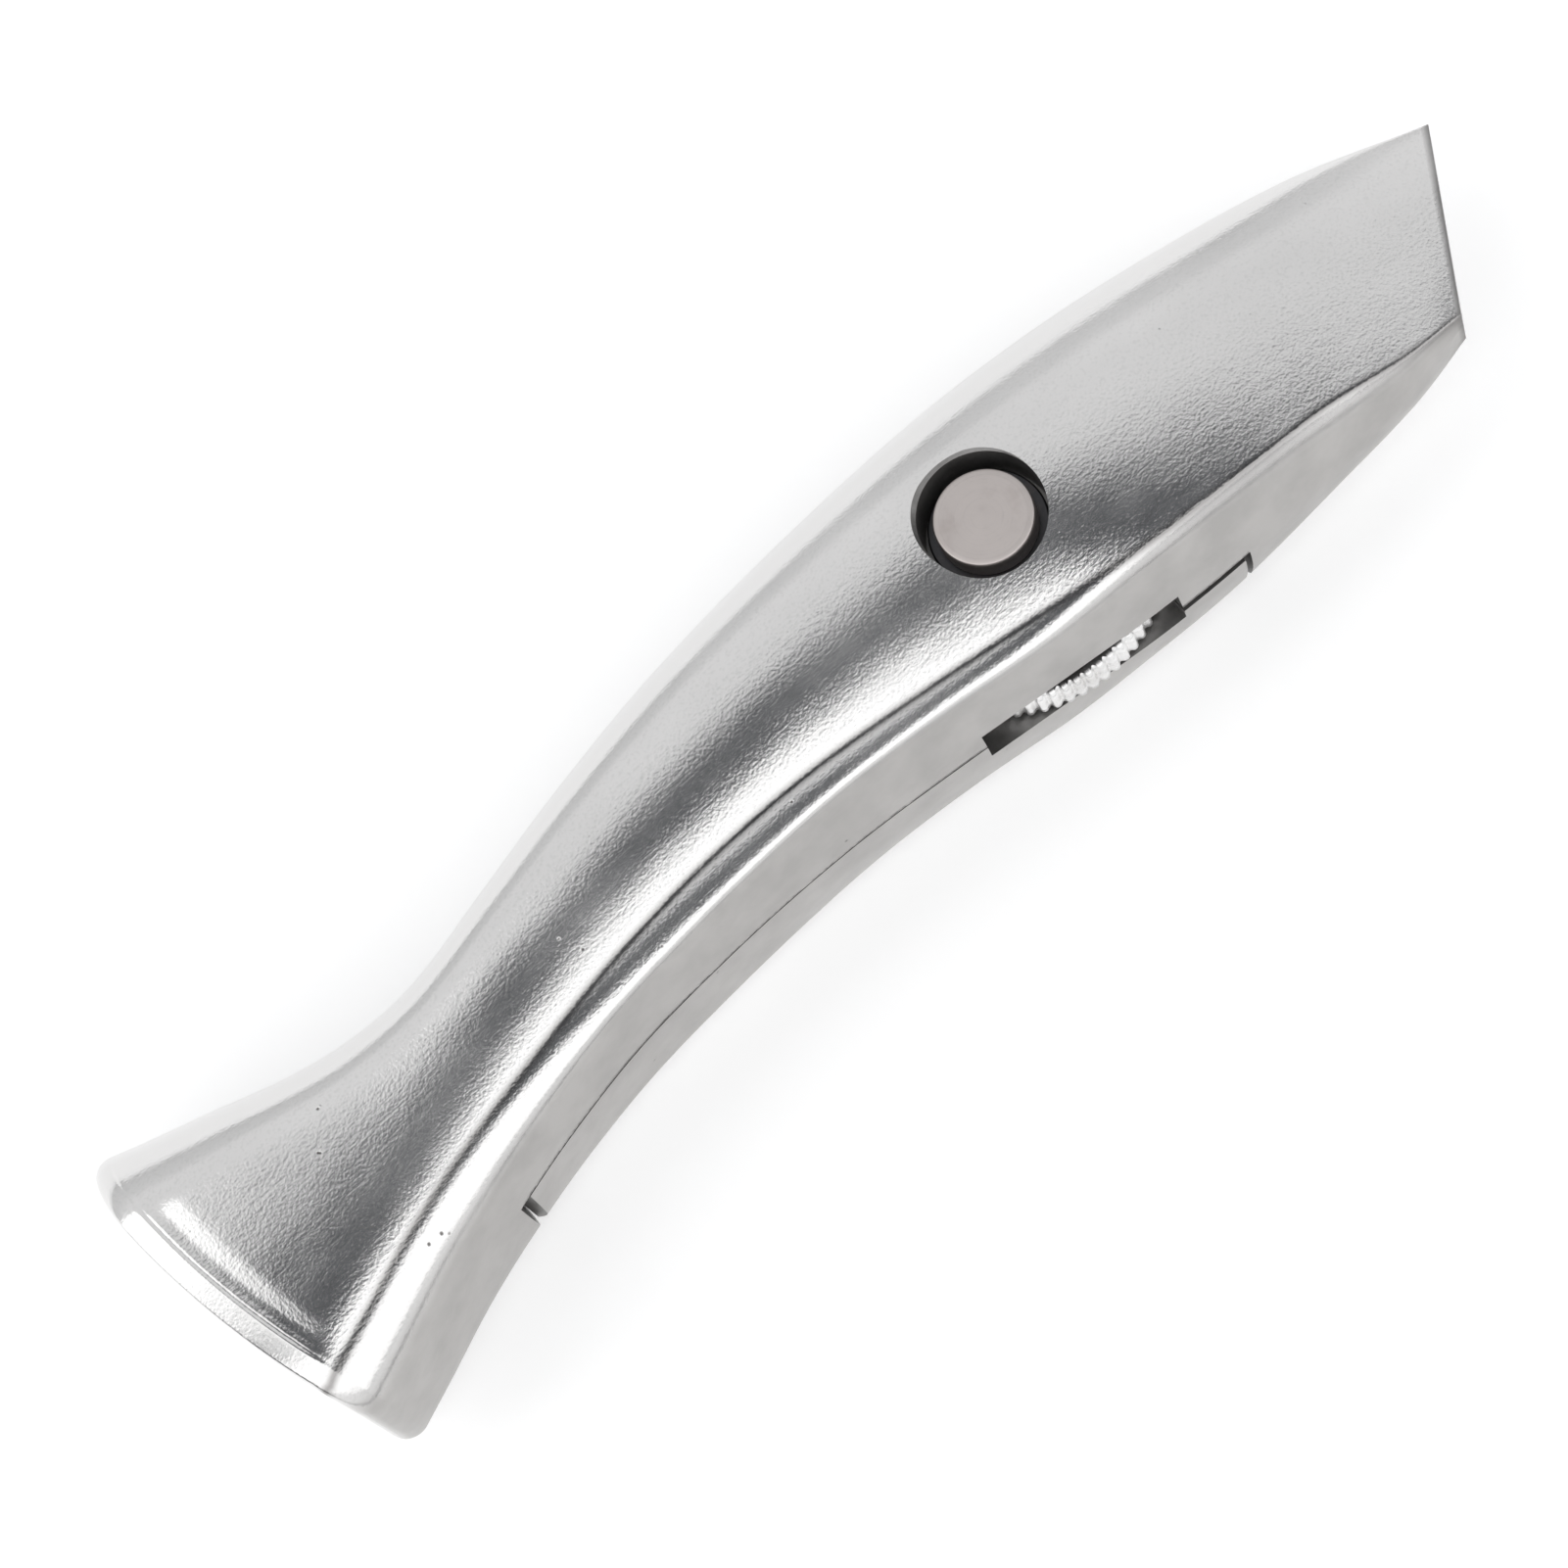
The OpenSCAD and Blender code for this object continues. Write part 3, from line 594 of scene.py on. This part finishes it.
def key_cut():
    return prism([(2.8, -1), (5.2, -1), (5.2, 1), (2.8, 1)], -2, 2)


WHEEL_R, WHEEL_W, TEETH, TOOTH = 17.7, 4, 72, 0.5
TOOTH_SHAPE = ((0, 0.0), (0.08, 0.08), (0.2, 0.5), (0.32, 0.88), (0.5, 1.0), (0.68, 0.88), (0.8, 0.5),
               (0.92, 0.08), (1, 0.0))


def wheel():
    """The milled wheel: rounded teeth that run out into a bevel on both rims, and a shallow turned recess."""
    per = 16
    count = TEETH * per
    half = WHEEL_W / 2
    levels = [(-half, 0.52), (-half + 0.12, 0.36), (-half + 0.32, 0.14), (-half + 0.52, 0.0), (-0.6, 0),
              (0.6, 0), (half - 0.52, 0.0), (half - 0.32, 0.14), (half - 0.12, 0.36), (half, 0.52)]
    v, f = [], []
    for z, drop in levels:
        for i in range(count):
            a = 2 * math.pi * i / count
            share = float(np.interp(i % per / per, [t[0] for t in TOOTH_SHAPE], [t[1] for t in TOOTH_SHAPE]))
            r = WHEEL_R - TOOTH * (1 - share) - drop
            v.append((r * math.cos(a), r * math.sin(a), z))
    n = len(levels)
    for j in range(n - 1):
        for i in range(count):
            k = (i + 1) % count
            f.append((j * count + i, j * count + k, (j + 1) * count + k, (j + 1) * count + i))
    # both faces: rings inwards, with a recess, then the bore
    face = [(16.6, 0.0), (12.6, 0.0), (12.35, 0.16), (7.4, 0.16), (7.15, 0.0), (SHANK_R + 0.25, 0.0),
            (SHANK_R, 0.2)]
    last = {}
    for sign, start in ((-1, 0), (1, (n - 1) * count)):
        prev = start
        for r, sunk in face:
            base = len(v)
            for i in range(count):
                a = 2 * math.pi * i / count
                v.append((r * math.cos(a), r * math.sin(a), sign * (half - sunk)))
            for i in range(count):
                k = (i + 1) % count
                q = (prev + i, base + i, base + k, prev + k)
                f.append(q if sign < 0 else q[::-1])
            prev = base
        last[sign] = prev
    for i in range(count):
        k = (i + 1) % count
        f.append((last[-1] + i, last[1] + i, last[1] + k, last[-1] + k))
    return make("wheel_milled", v, f)


def outward(o):
    """Turns every face outwards."""
    bm = bmesh.new()
    bm.from_mesh(o.data)
    bmesh.ops.recalc_face_normals(bm, faces=bm.faces[:])
    bm.to_mesh(o.data)
    bm.free()
    return o


def screw():
    """The stud: turned head with a soft rim, plain shank and a rolled thread."""
    steps, pitch = 96, 1.25
    line = [(0, 13.2), (1.2, 13.18), (4.6, 13.17), (5.25, 13.2), (5.45, 13.12), (5.56, 12.98), (5.6, 12.8),
            (5.6, 10.45), (5.5, 10.25), (5.2, 10.2), (SHANK_R, 10.2), (SHANK_R, -3.1), (3.85, -3.25)]
    turns = np.arange(-3.4, -11.6, -0.09)
    line += [(None, float(z)) for z in turns]
    line += [(3.5, -11.7), (3.05, -12.3), (0, -12.3)]
    v, idx, f = [], [], []
    for r, z in line:
        if r is not None and r < 1e-6:
            idx.append([len(v)])
            v.append((0, 0, z))
            continue
        idx.append(list(range(len(v), len(v) + steps)))
        for i in range(steps):
            a = 2 * math.pi * i / steps
            rr = r
            if r is None:
                # the rolled thread, which runs in over its first stretch
                u = (z / pitch - i / steps) % 1.0
                crest = min(1, max(0, 1.25 - abs(u - 0.5) * 2.9))
                rr = 3.83 - 0.55 * (1 - crest) * ease((-3.3 - z) / 0.8)
            v.append((rr * math.cos(a), rr * math.sin(a), z))
    for a, b in zip(idx, idx[1:]):
        for i in range(steps):
            k = (i + 1) % steps
            if len(a) == 1:
                f.append((a[0], b[i], b[k]))
            elif len(b) == 1:
                f.append((a[i], b[0], a[k]))
            else:
                f.append((a[i], b[i], b[k], a[k]))
    return make("screw_turned", v, f)


def blade():
    """Trapezoid blade with two notches in its spine and a ground edge, centred on its plan."""
    h, top = BLADE_H / 2, BLADE_SPINE / 2
    corner, bevel = BLADE_L / 2, 1.4
    inner = corner - (BLADE_L - BLADE_SPINE) / 2 * bevel / BLADE_H
    plan = [(-corner, -h), (corner, -h), (inner, -h + bevel), (top, h)]
    for side in (1, -1):
        front, rear = side * NOTCH_X + NOTCH_W / 2, side * NOTCH_X - NOTCH_W / 2
        plan += [(front, h), (front, h - NOTCH_H), (rear, h - NOTCH_H), (rear, h)]
    plan += [(-top, h), (-inner, -h + bevel)]
    o = prism(plan, 0, BLADE_T)
    middle = LIFT + BLADE_T / 2
    for vert in o.data.vertices:
        if vert.co.y < (-h + 0.01) * MM:
            vert.co.z = (middle + (0.03 if vert.co.z > middle * MM else -0.03)) * MM
    return o


WASHER = [(4.35, 9.3), (6.5, 9.3), (6.7, 9.45), (6.7, 10.05), (6.5, 10.2), (4.35, 10.2), (4.15, 10.05),
          (4.15, 9.45)]
BUSH = [(4.15, 3.1), (5.3, 3.1), (5.5, 3.3), (5.5, 8.3), (5.3, 8.5), (4.4, 8.5), (4.15, 8.25)]
INSERT = [(4.3, -12.5), (5.3, -12.5), (5.5, -12.3), (5.5, -10.2), (5.25, -10.1), (5.25, -9.7), (5.5, -9.6),
          (5.5, -7.5), (5.3, -7.3), (4.3, -7.3), (4.02, -7.55), (4.02, -12.25)]
CLIP = [(4.05, -2.7), (5.9, -2.7), (6, -2.6), (6, -2.1), (5.9, -2), (4.05, -2)]
PIN = [(0, -14), (0.9, -14), (PIN_R, -13.7), (PIN_R, 4.3), (0.9, 4.6), (0, 4.6)]
PEG = [(0, -1), (0.7, -0.98), (1.1, -0.85), (1.27, -0.6), (PEG_R, -0.4), (PEG_R, 2.9), (1.2, 3), (0, 3)]
MAGNET = [(0, 6), (4.75, 6), (5, 6.25), (5, 8.75), (4.75, 9), (0, 9)]

wheel_piece = settle(boolean(outward(wheel()), key_cut()),
                     "wheel_milled", "clamp_wheel", "clamp", 40)
screw_piece = settle(boolean(outward(screw()), key_cut()),
                     "screw_turned", "clamp_screw", "clamp")
washer_piece = settle(outward(tube(WASHER)), "washer_turned", "head_washer", "screw_lift")
bush_piece = settle(outward(tube(BUSH)), "bush_turned", "screw_bush", "body")
insert_piece = settle(outward(tube(INSERT)), "insert_turned", "thread_insert", "cover")
ring_piece = settle(boolean(outward(tube(CLIP)), prism(box_plan(-9, -1.6, -2, 1.6), -4, 0)),
                    "ring_stamped", "retaining_ring", "clamp")
pin_piece = settle(moved(outward(lathe(PIN, 64)), lying(HINGE_X, 0, HINGE_Z)),
                   "pin_turned", "hinge_pin", "body")
peg_pieces = [settle(moved(outward(lathe(PEG, 64)), at(*peg_at(side), 0)),
                     "peg_domed_" + tag, "blade_peg_" + tag, "body")
              for side, tag in ((1, "front"), (-1, "rear"))]
magnet_piece = settle(moved(outward(lathe(MAGNET, 96)), in_magazine(0, 14)),
                      "magnet_plated", "magazine_magnet", "body")
blade_pieces = [settle(moved(outward(blade()), in_magazine(6 - i * BLADE_T)),
                       "blade_ground_%d" % i, "spare_blade_%d" % i, "body", 20)
                for i in range(1, 6)]

for o, name, tag, rides in ((body, "body_casting", "cast_body", "body"),
                            (cover, "cover_casting", "cast_cover", "cover")):
    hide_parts(name)
    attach(o, rides)


# ---------------------------------------------------------------- materials


def new_material(name):
    m = bpy.data.materials.new(name)
    m.use_nodes = True
    nt = m.node_tree
    return m, nt, nt.nodes["Principled BSDF"]


def node(nt, kind, **values):
    n = nt.nodes.new(kind)
    for k, v in values.items():
        if k in n.inputs:
            n.inputs[k].default_value = v
        else:
            setattr(n, k, v)
    return n


def ramp(nt, source, stops):
    r = nt.nodes.new("ShaderNodeValToRGB")
    e = r.color_ramp.elements
    e[0].position, e[0].color = stops[0][0], (*stops[0][1], 1)
    e[1].position, e[1].color = stops[-1][0], (*stops[-1][1], 1)
    for p, c in stops[1:-1]:
        e.new(p).color = (*c, 1)
    nt.links.new(source, r.inputs[0])
    return r.outputs["Color"]


def grey(v):
    return (v, v, v)


def scaled(tint, k):
    return tuple(min(1, c * k) for c in tint)


def coords(nt, scale=(1, 1, 1), turn=0.0):
    tc = nt.nodes.new("ShaderNodeTexCoord")
    mp = nt.nodes.new("ShaderNodeMapping")
    mp.inputs["Scale"].default_value = scale
    mp.inputs["Rotation"].default_value = (0, 0, turn)
    nt.links.new(tc.outputs["Object"], mp.inputs["Vector"])
    return mp.outputs["Vector"]


def noise(nt, scale, detail=4.0, roughness=0.6, stretch=(1, 1, 1), turn=0.0):
    n = node(nt, "ShaderNodeTexNoise", Scale=scale, Detail=detail, Roughness=roughness)
    nt.links.new(coords(nt, stretch, turn), n.inputs["Vector"])
    return n.outputs["Fac"]


def mixed(nt, factor, a, b):
    """Colour mix of a and b, each a colour or a socket."""
    n = node(nt, "ShaderNodeMix", data_type="RGBA")
    nt.links.new(factor, n.inputs[0])
    for slot, v in ((6, a), (7, b)):
        if isinstance(v, tuple):
            n.inputs[slot].default_value = (*v, 1)
        else:
            nt.links.new(v, n.inputs[slot])
    return n.outputs[2]


def maths(nt, kind, a, b, c=None):
    n = node(nt, "ShaderNodeMath", operation=kind)
    for i, v in enumerate((a, b, c)):
        if v is None:
            continue
        if isinstance(v, (int, float)):
            n.inputs[i].default_value = v
        else:
            nt.links.new(v, n.inputs[i])
    return n.outputs[0]


def bumped(nt, height, distance, strength, after=None):
    n = node(nt, "ShaderNodeBump", Strength=strength, Distance=distance)
    nt.links.new(height, n.inputs["Height"])
    if after is not None:
        nt.links.new(after, n.inputs["Normal"])
    return n.outputs["Normal"]


# the crease's colour: dirt and painted shade
FOLD_DIRT_AND_SHADE = (0.155, 0.145, 0.14)
PIT_DIRT = (0.16, 0.15, 0.145)
# the colours of the cut faces: raw cast grey, painted dark as shade
INNER_DARK, INNER_LIGHT = (0.20, 0.195, 0.19), (0.32, 0.315, 0.31)


def cast_metal(name, tint, dull_and_shade, rough):
    """Polished zinc casting: cast skin under the polish, fine scratches, pits, duller walls that are also
    painted darker as shade, a back painted darker as shade, dirt and painted shade in the crease, and cut
    faces painted dark as shade."""
    m, nt, b = new_material(name)
    b.inputs["Metallic"].default_value = 1.0
    broad = noise(nt, 70.0, stretch=(0.5, 1, 1))
    skin_grain = noise(nt, 2700.0, 2.5, 0.5)
    peel = noise(nt, 700.0, 3.0, 0.5)
    waves = noise(nt, 95.0, 2.0, 0.4, (0.6, 1, 1))
    lines = noise(nt, 1.0, 4.0, 0.7, (60, 2600, 2600), 0.12)
    cells = node(nt, "ShaderNodeTexVoronoi", Scale=520.0, Randomness=1.0)
    nt.links.new(coords(nt), cells.inputs["Vector"])
    spot = ramp(nt, cells.outputs["Distance"], [(0.0, grey(1)), (0.06, grey(1)), (0.13, grey(0))])
    gate = ramp(nt, noise(nt, 130.0, 2.0), [(0.66, grey(0)), (0.71, grey(1))])
    pit = maths(nt, "MULTIPLY", spot, gate)
    tone = ramp(nt, broad, [(0.30, scaled(tint, 0.93)), (0.55, tint), (0.75, scaled(tint, 1.04))])
    fleck = ramp(nt, skin_grain, [(0.36, grey(1)), (0.46, grey(0))])
    tone = mixed(nt, maths(nt, "MULTIPLY", fleck, 0.10), tone, scaled(tint, 0.5))
    # the underside wall, which is only tumbled, not polished, and is also painted darker as shade
    tc = nt.nodes.new("ShaderNodeTexCoord")
    parts = nt.nodes.new("ShaderNodeSeparateXYZ")
    nt.links.new(tc.outputs["Normal"], parts.inputs[0])
    wall = ramp(nt, maths(nt, "MULTIPLY", parts.outputs["Y"], -1.0), [(0.42, grey(0)), (0.92, grey(1))])
    wall_tone = ramp(nt, noise(nt, 160.0, 3.0), [(0.35, scaled(dull_and_shade, 0.92)), (0.65, scaled(dull_and_shade, 1.06))])
    tone = mixed(nt, wall, tone, wall_tone)
    # the back, where it faces +Y, is painted darker as shade
    back = ramp(nt, parts.outputs["Y"], [(0.35, grey(0)), (0.85, grey(1))])
    tone = mixed(nt, back, tone, scaled(tint, 0.80))
    # the crease: dirt and painted shade, darker along the fold
    fold = node(nt, "ShaderNodeAttribute", attribute_name="fold")
    tone = mixed(nt, maths(nt, "MULTIPLY", fold.outputs["Fac"], 0.72), tone, FOLD_DIRT_AND_SHADE)
    # the cut faces inside the castings: raw casting, painted dark as shade in the pockets, the slot and the
    # seam
    inner = node(nt, "ShaderNodeAttribute", attribute_name="inner")
    inner_tone = ramp(nt, noise(nt, 260.0, 4.0), [(0.3, INNER_DARK), (0.7, INNER_LIGHT)])
    tone = mixed(nt, inner.outputs["Fac"], tone, inner_tone)
    tone = mixed(nt, pit, tone, PIT_DIRT)
    nt.links.new(tone, b.inputs["Base Color"])
    soft = node(nt, "ShaderNodeMapRange")
    for k, v in (("From Min", 0.3), ("From Max", 0.7), ("To Min", rough - 0.05), ("To Max", rough + 0.07)):
        soft.inputs[k].default_value = v
    nt.links.new(broad, soft.inputs["Value"])
    r = maths(nt, "MULTIPLY_ADD", wall, 0.16, soft.outputs["Result"])
    r = maths(nt, "MULTIPLY_ADD", inner.outputs["Fac"], 0.2, r)
    nt.links.new(r, b.inputs["Roughness"])
    n = bumped(nt, waves, 0.00040, 0.22)
    n = bumped(nt, peel, 0.00006, 0.15, n)
    n = bumped(nt, skin_grain, 0.00004, 0.55, n)
    n = bumped(nt, lines, 0.000025, 0.35, n)
    n = bumped(nt, maths(nt, "MULTIPLY", pit, -1.0), 0.00012, 0.6, n)
    nt.links.new(n, b.inputs["Normal"])
    return m


def worked_metal(name, tint, rough, stain, stretch=(1, 1, 1), scale=900.0, bump=0.35, turned=False,
                 turn=0.0, patch=140.0):
    """Turned, ground, rolled or plated metal: stains, and tool marks along stretch or, if turned,
    round the screw's axis."""
    m, nt, b = new_material(name)
    b.inputs["Metallic"].default_value = 1.0
    blot = noise(nt, patch, 4.0)
    marks = noise(nt, scale, 4.0, 0.65, stretch, turn)
    if turned:
        far = node(nt, "ShaderNodeVectorMath", operation="LENGTH")
        nt.links.new(coords(nt, (1, 1, 0)), far.inputs[0])
        rings = node(nt, "ShaderNodeTexNoise", noise_dimensions="1D", Scale=2600.0, Detail=4.0,
                     Roughness=0.7)
        nt.links.new(far.outputs["Value"], rings.inputs["W"])
        marks = maths(nt, "MULTIPLY_ADD", rings.outputs["Fac"], 0.75, maths(nt, "MULTIPLY", marks, 0.35))
    tone = ramp(nt, blot, [(0.30, stain), (0.48, tint), (0.75, scaled(tint, 1.06))])
    tone = mixed(nt, ramp(nt, marks, [(0.30, grey(0.45)), (0.52, grey(0))]), tone, scaled(tint, 0.72))
    nt.links.new(tone, b.inputs["Base Color"])
    r = maths(nt, "MULTIPLY_ADD", marks, 0.18, rough - 0.09)
    nt.links.new(maths(nt, "MULTIPLY_ADD", blot, 0.08, r), b.inputs["Roughness"])
    n = bumped(nt, marks, 0.00004, bump)
    n = bumped(nt, noise(nt, 2200.0, 2.0), 0.00002, 0.3, n)
    nt.links.new(n, b.inputs["Normal"])
    return m


ALONG_X, ALONG_Y = (90, 90, 2200), (2400, 90, 2400)
ROLLED, GROUND = (80, 2200, 2200), (2600, 120, 2600)
LIE = 0.127  # turn of the magazine, in radians
FINISH = {
    "cast_body": cast_metal("cast_body", (0.82, 0.812, 0.805), (0.44, 0.43, 0.42), 0.165),
    "cast_cover": cast_metal("cast_cover", (0.80, 0.792, 0.785), (0.46, 0.45, 0.44), 0.19),
    "screw_steel": worked_metal("screw_steel", (0.60, 0.555, 0.535), 0.42, (0.50, 0.45, 0.43), bump=0.3,
                                turned=True),
    "wheel_steel": worked_metal("wheel_steel", (0.86, 0.855, 0.85), 0.24, (0.70, 0.69, 0.68), ALONG_X, 1.0,
                                0.4, turn=0.5),
    "pin_steel": worked_metal("pin_steel", (0.66, 0.66, 0.67), 0.25, (0.48, 0.47, 0.47), ALONG_Y, 1.0, 0.3),
    "black_steel": worked_metal("black_steel", (0.085, 0.085, 0.09), 0.38, (0.14, 0.12, 0.11),
                                scale=1300.0, bump=0.4),
    "spring_steel": worked_metal("spring_steel", (0.42, 0.43, 0.47), 0.30, (0.34, 0.31, 0.33), ROLLED, 1.0,
                                 0.35, turn=LIE),
    "bronze": worked_metal("bronze", (0.62, 0.46, 0.27), 0.34, (0.42, 0.30, 0.18), turned=True),
    "insert_steel": worked_metal("insert_steel", (0.66, 0.62, 0.50), 0.30, (0.52, 0.46, 0.34), turned=True),
    "blade_steel": worked_metal("blade_steel", (0.60, 0.61, 0.64), 0.24, (0.46, 0.47, 0.51), GROUND, 1.0,
                                0.4, turn=LIE, patch=90.0),
    "magnet": worked_metal("magnet", (0.70, 0.69, 0.66), 0.16, (0.58, 0.55, 0.50), scale=1700.0, bump=0.2),
    "rivet": worked_metal("rivet", (0.74, 0.74, 0.75), 0.30, (0.58, 0.58, 0.59), scale=1400.0),
}

for pieces, tag in (([body], "cast_body"), ([cover], "cast_cover"), ([wheel_piece], "wheel_steel"),
                    ([screw_piece], "screw_steel"), ([washer_piece, ring_piece], "black_steel"),
                    ([bush_piece], "bronze"), ([insert_piece], "insert_steel"),
                    ([pin_piece, *peg_pieces], "pin_steel"), ([magnet_piece], "magnet"),
                    (blade_pieces, "blade_steel")):
    for o in pieces:
        o.data.materials.clear()
        o.data.materials.append(FINISH[tag])
for name, tag in (("wheel_key", "pin_steel"), ("disc_spring", "spring_steel"),
                  ("magazine_spring", "spring_steel"), ("magazine_rivet", "rivet")):
    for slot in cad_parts[name].material_slots:
        slot.material = FINISH[tag]


# ---------------------------------------------------------------- floor, light, camera
FLOOR_HALF = 6
floor_me = bpy.data.meshes.new("floor")
corners = [(x * FLOOR_HALF, y * FLOOR_HALF, 0) for x, y in ((-1, -1), (1, -1), (1, 1), (-1, 1))]
floor_me.from_pydata(corners, [], [(0, 1, 2, 3)])
floor = bpy.data.objects.new("floor", floor_me)
bpy.context.scene.collection.objects.link(floor)
m, nt, b = new_material("floor_white")
b.inputs["Base Color"].default_value = (0.86, 0.86, 0.86, 1)
b.inputs["Roughness"].default_value = 0.9
b.inputs["Specular IOR Level"].default_value = 0.1
b.inputs["Emission Color"].default_value = (1, 1, 1, 1)
b.inputs["Emission Strength"].default_value = 0.28
floor_me.materials.append(m)

world = bpy.data.worlds.new("studio")
bpy.context.scene.world = world
world.use_nodes = True
world.node_tree.nodes["Background"].inputs["Color"].default_value = (0.9, 0.93, 1.0, 1)
world.node_tree.nodes["Background"].inputs["Strength"].default_value = 0.10

PANEL_LENGTH, PANEL_FAR = 6.0, 1.3
CARD_LENGTH, CARD_WIDTH = 0.7, 1.8


def area_light(name, length, width, radiance):
    data = bpy.data.lights.new(name, "AREA")
    data.shape = "RECTANGLE"
    data.size, data.size_y = length, width
    data.energy = radiance * length * width * math.pi
    o = bpy.data.objects.new(name, data)
    bpy.context.scene.collection.objects.link(o)
    return o


def softbox(name, low, high, radiance):
    """A long panel along X that spans the angles low to high from straight up, positive towards the back."""
    mid, half = math.radians((low + high) / 2), math.radians((high - low) / 2)
    o = area_light(name, PANEL_LENGTH, 2 * PANEL_FAR * math.tan(half), radiance)
    o.location = (0, PANEL_FAR * math.sin(mid), PANEL_FAR * math.cos(mid))
    o.rotation_euler = (-mid, 0, 0)


softbox("panel_back", 12, 62, 0.70)
softbox("panel_rear", 62, 88, 0.60)
softbox("panel_front", -48, -6, 1.3)
softbox("panel_low", -84, -50, 0.95)

# a bright card over the tail, which lights the bevel round its end
card = area_light("card_tail", CARD_LENGTH, CARD_WIDTH, 1.0)
card.location = (-0.93, 0.32, 0.84)
card.rotation_euler = (-card.location).to_track_quat("-Z", "Y").to_euler()

SENSOR = 36
FOCAL_SHARE = 4750 / 1601  # focal length as a share of the image's width
cam_data = bpy.data.cameras.new("camera")
cam_data.sensor_width = SENSOR
cam_data.lens = FOCAL_SHARE * SENSOR
cam_data.clip_start = 0.01
cam = bpy.data.objects.new("camera", cam_data)
bpy.context.scene.collection.objects.link(cam)
right = Vector((0.7463, -0.6270, -0.2235)).normalized()
forward = Vector((0.0431, 0.3806, -0.9237)).normalized()
right = (right - forward * right.dot(forward)).normalized()
up = right.cross(forward)
basis = Matrix((right, up, -forward)).transposed()
cam.matrix_world = Matrix.Translation((-0.05607, -0.19447, (466.38 + LIFT) * MM)) @ basis.to_4x4()
bpy.context.scene.camera = cam
bpy.context.scene.view_settings.view_transform = "Standard"
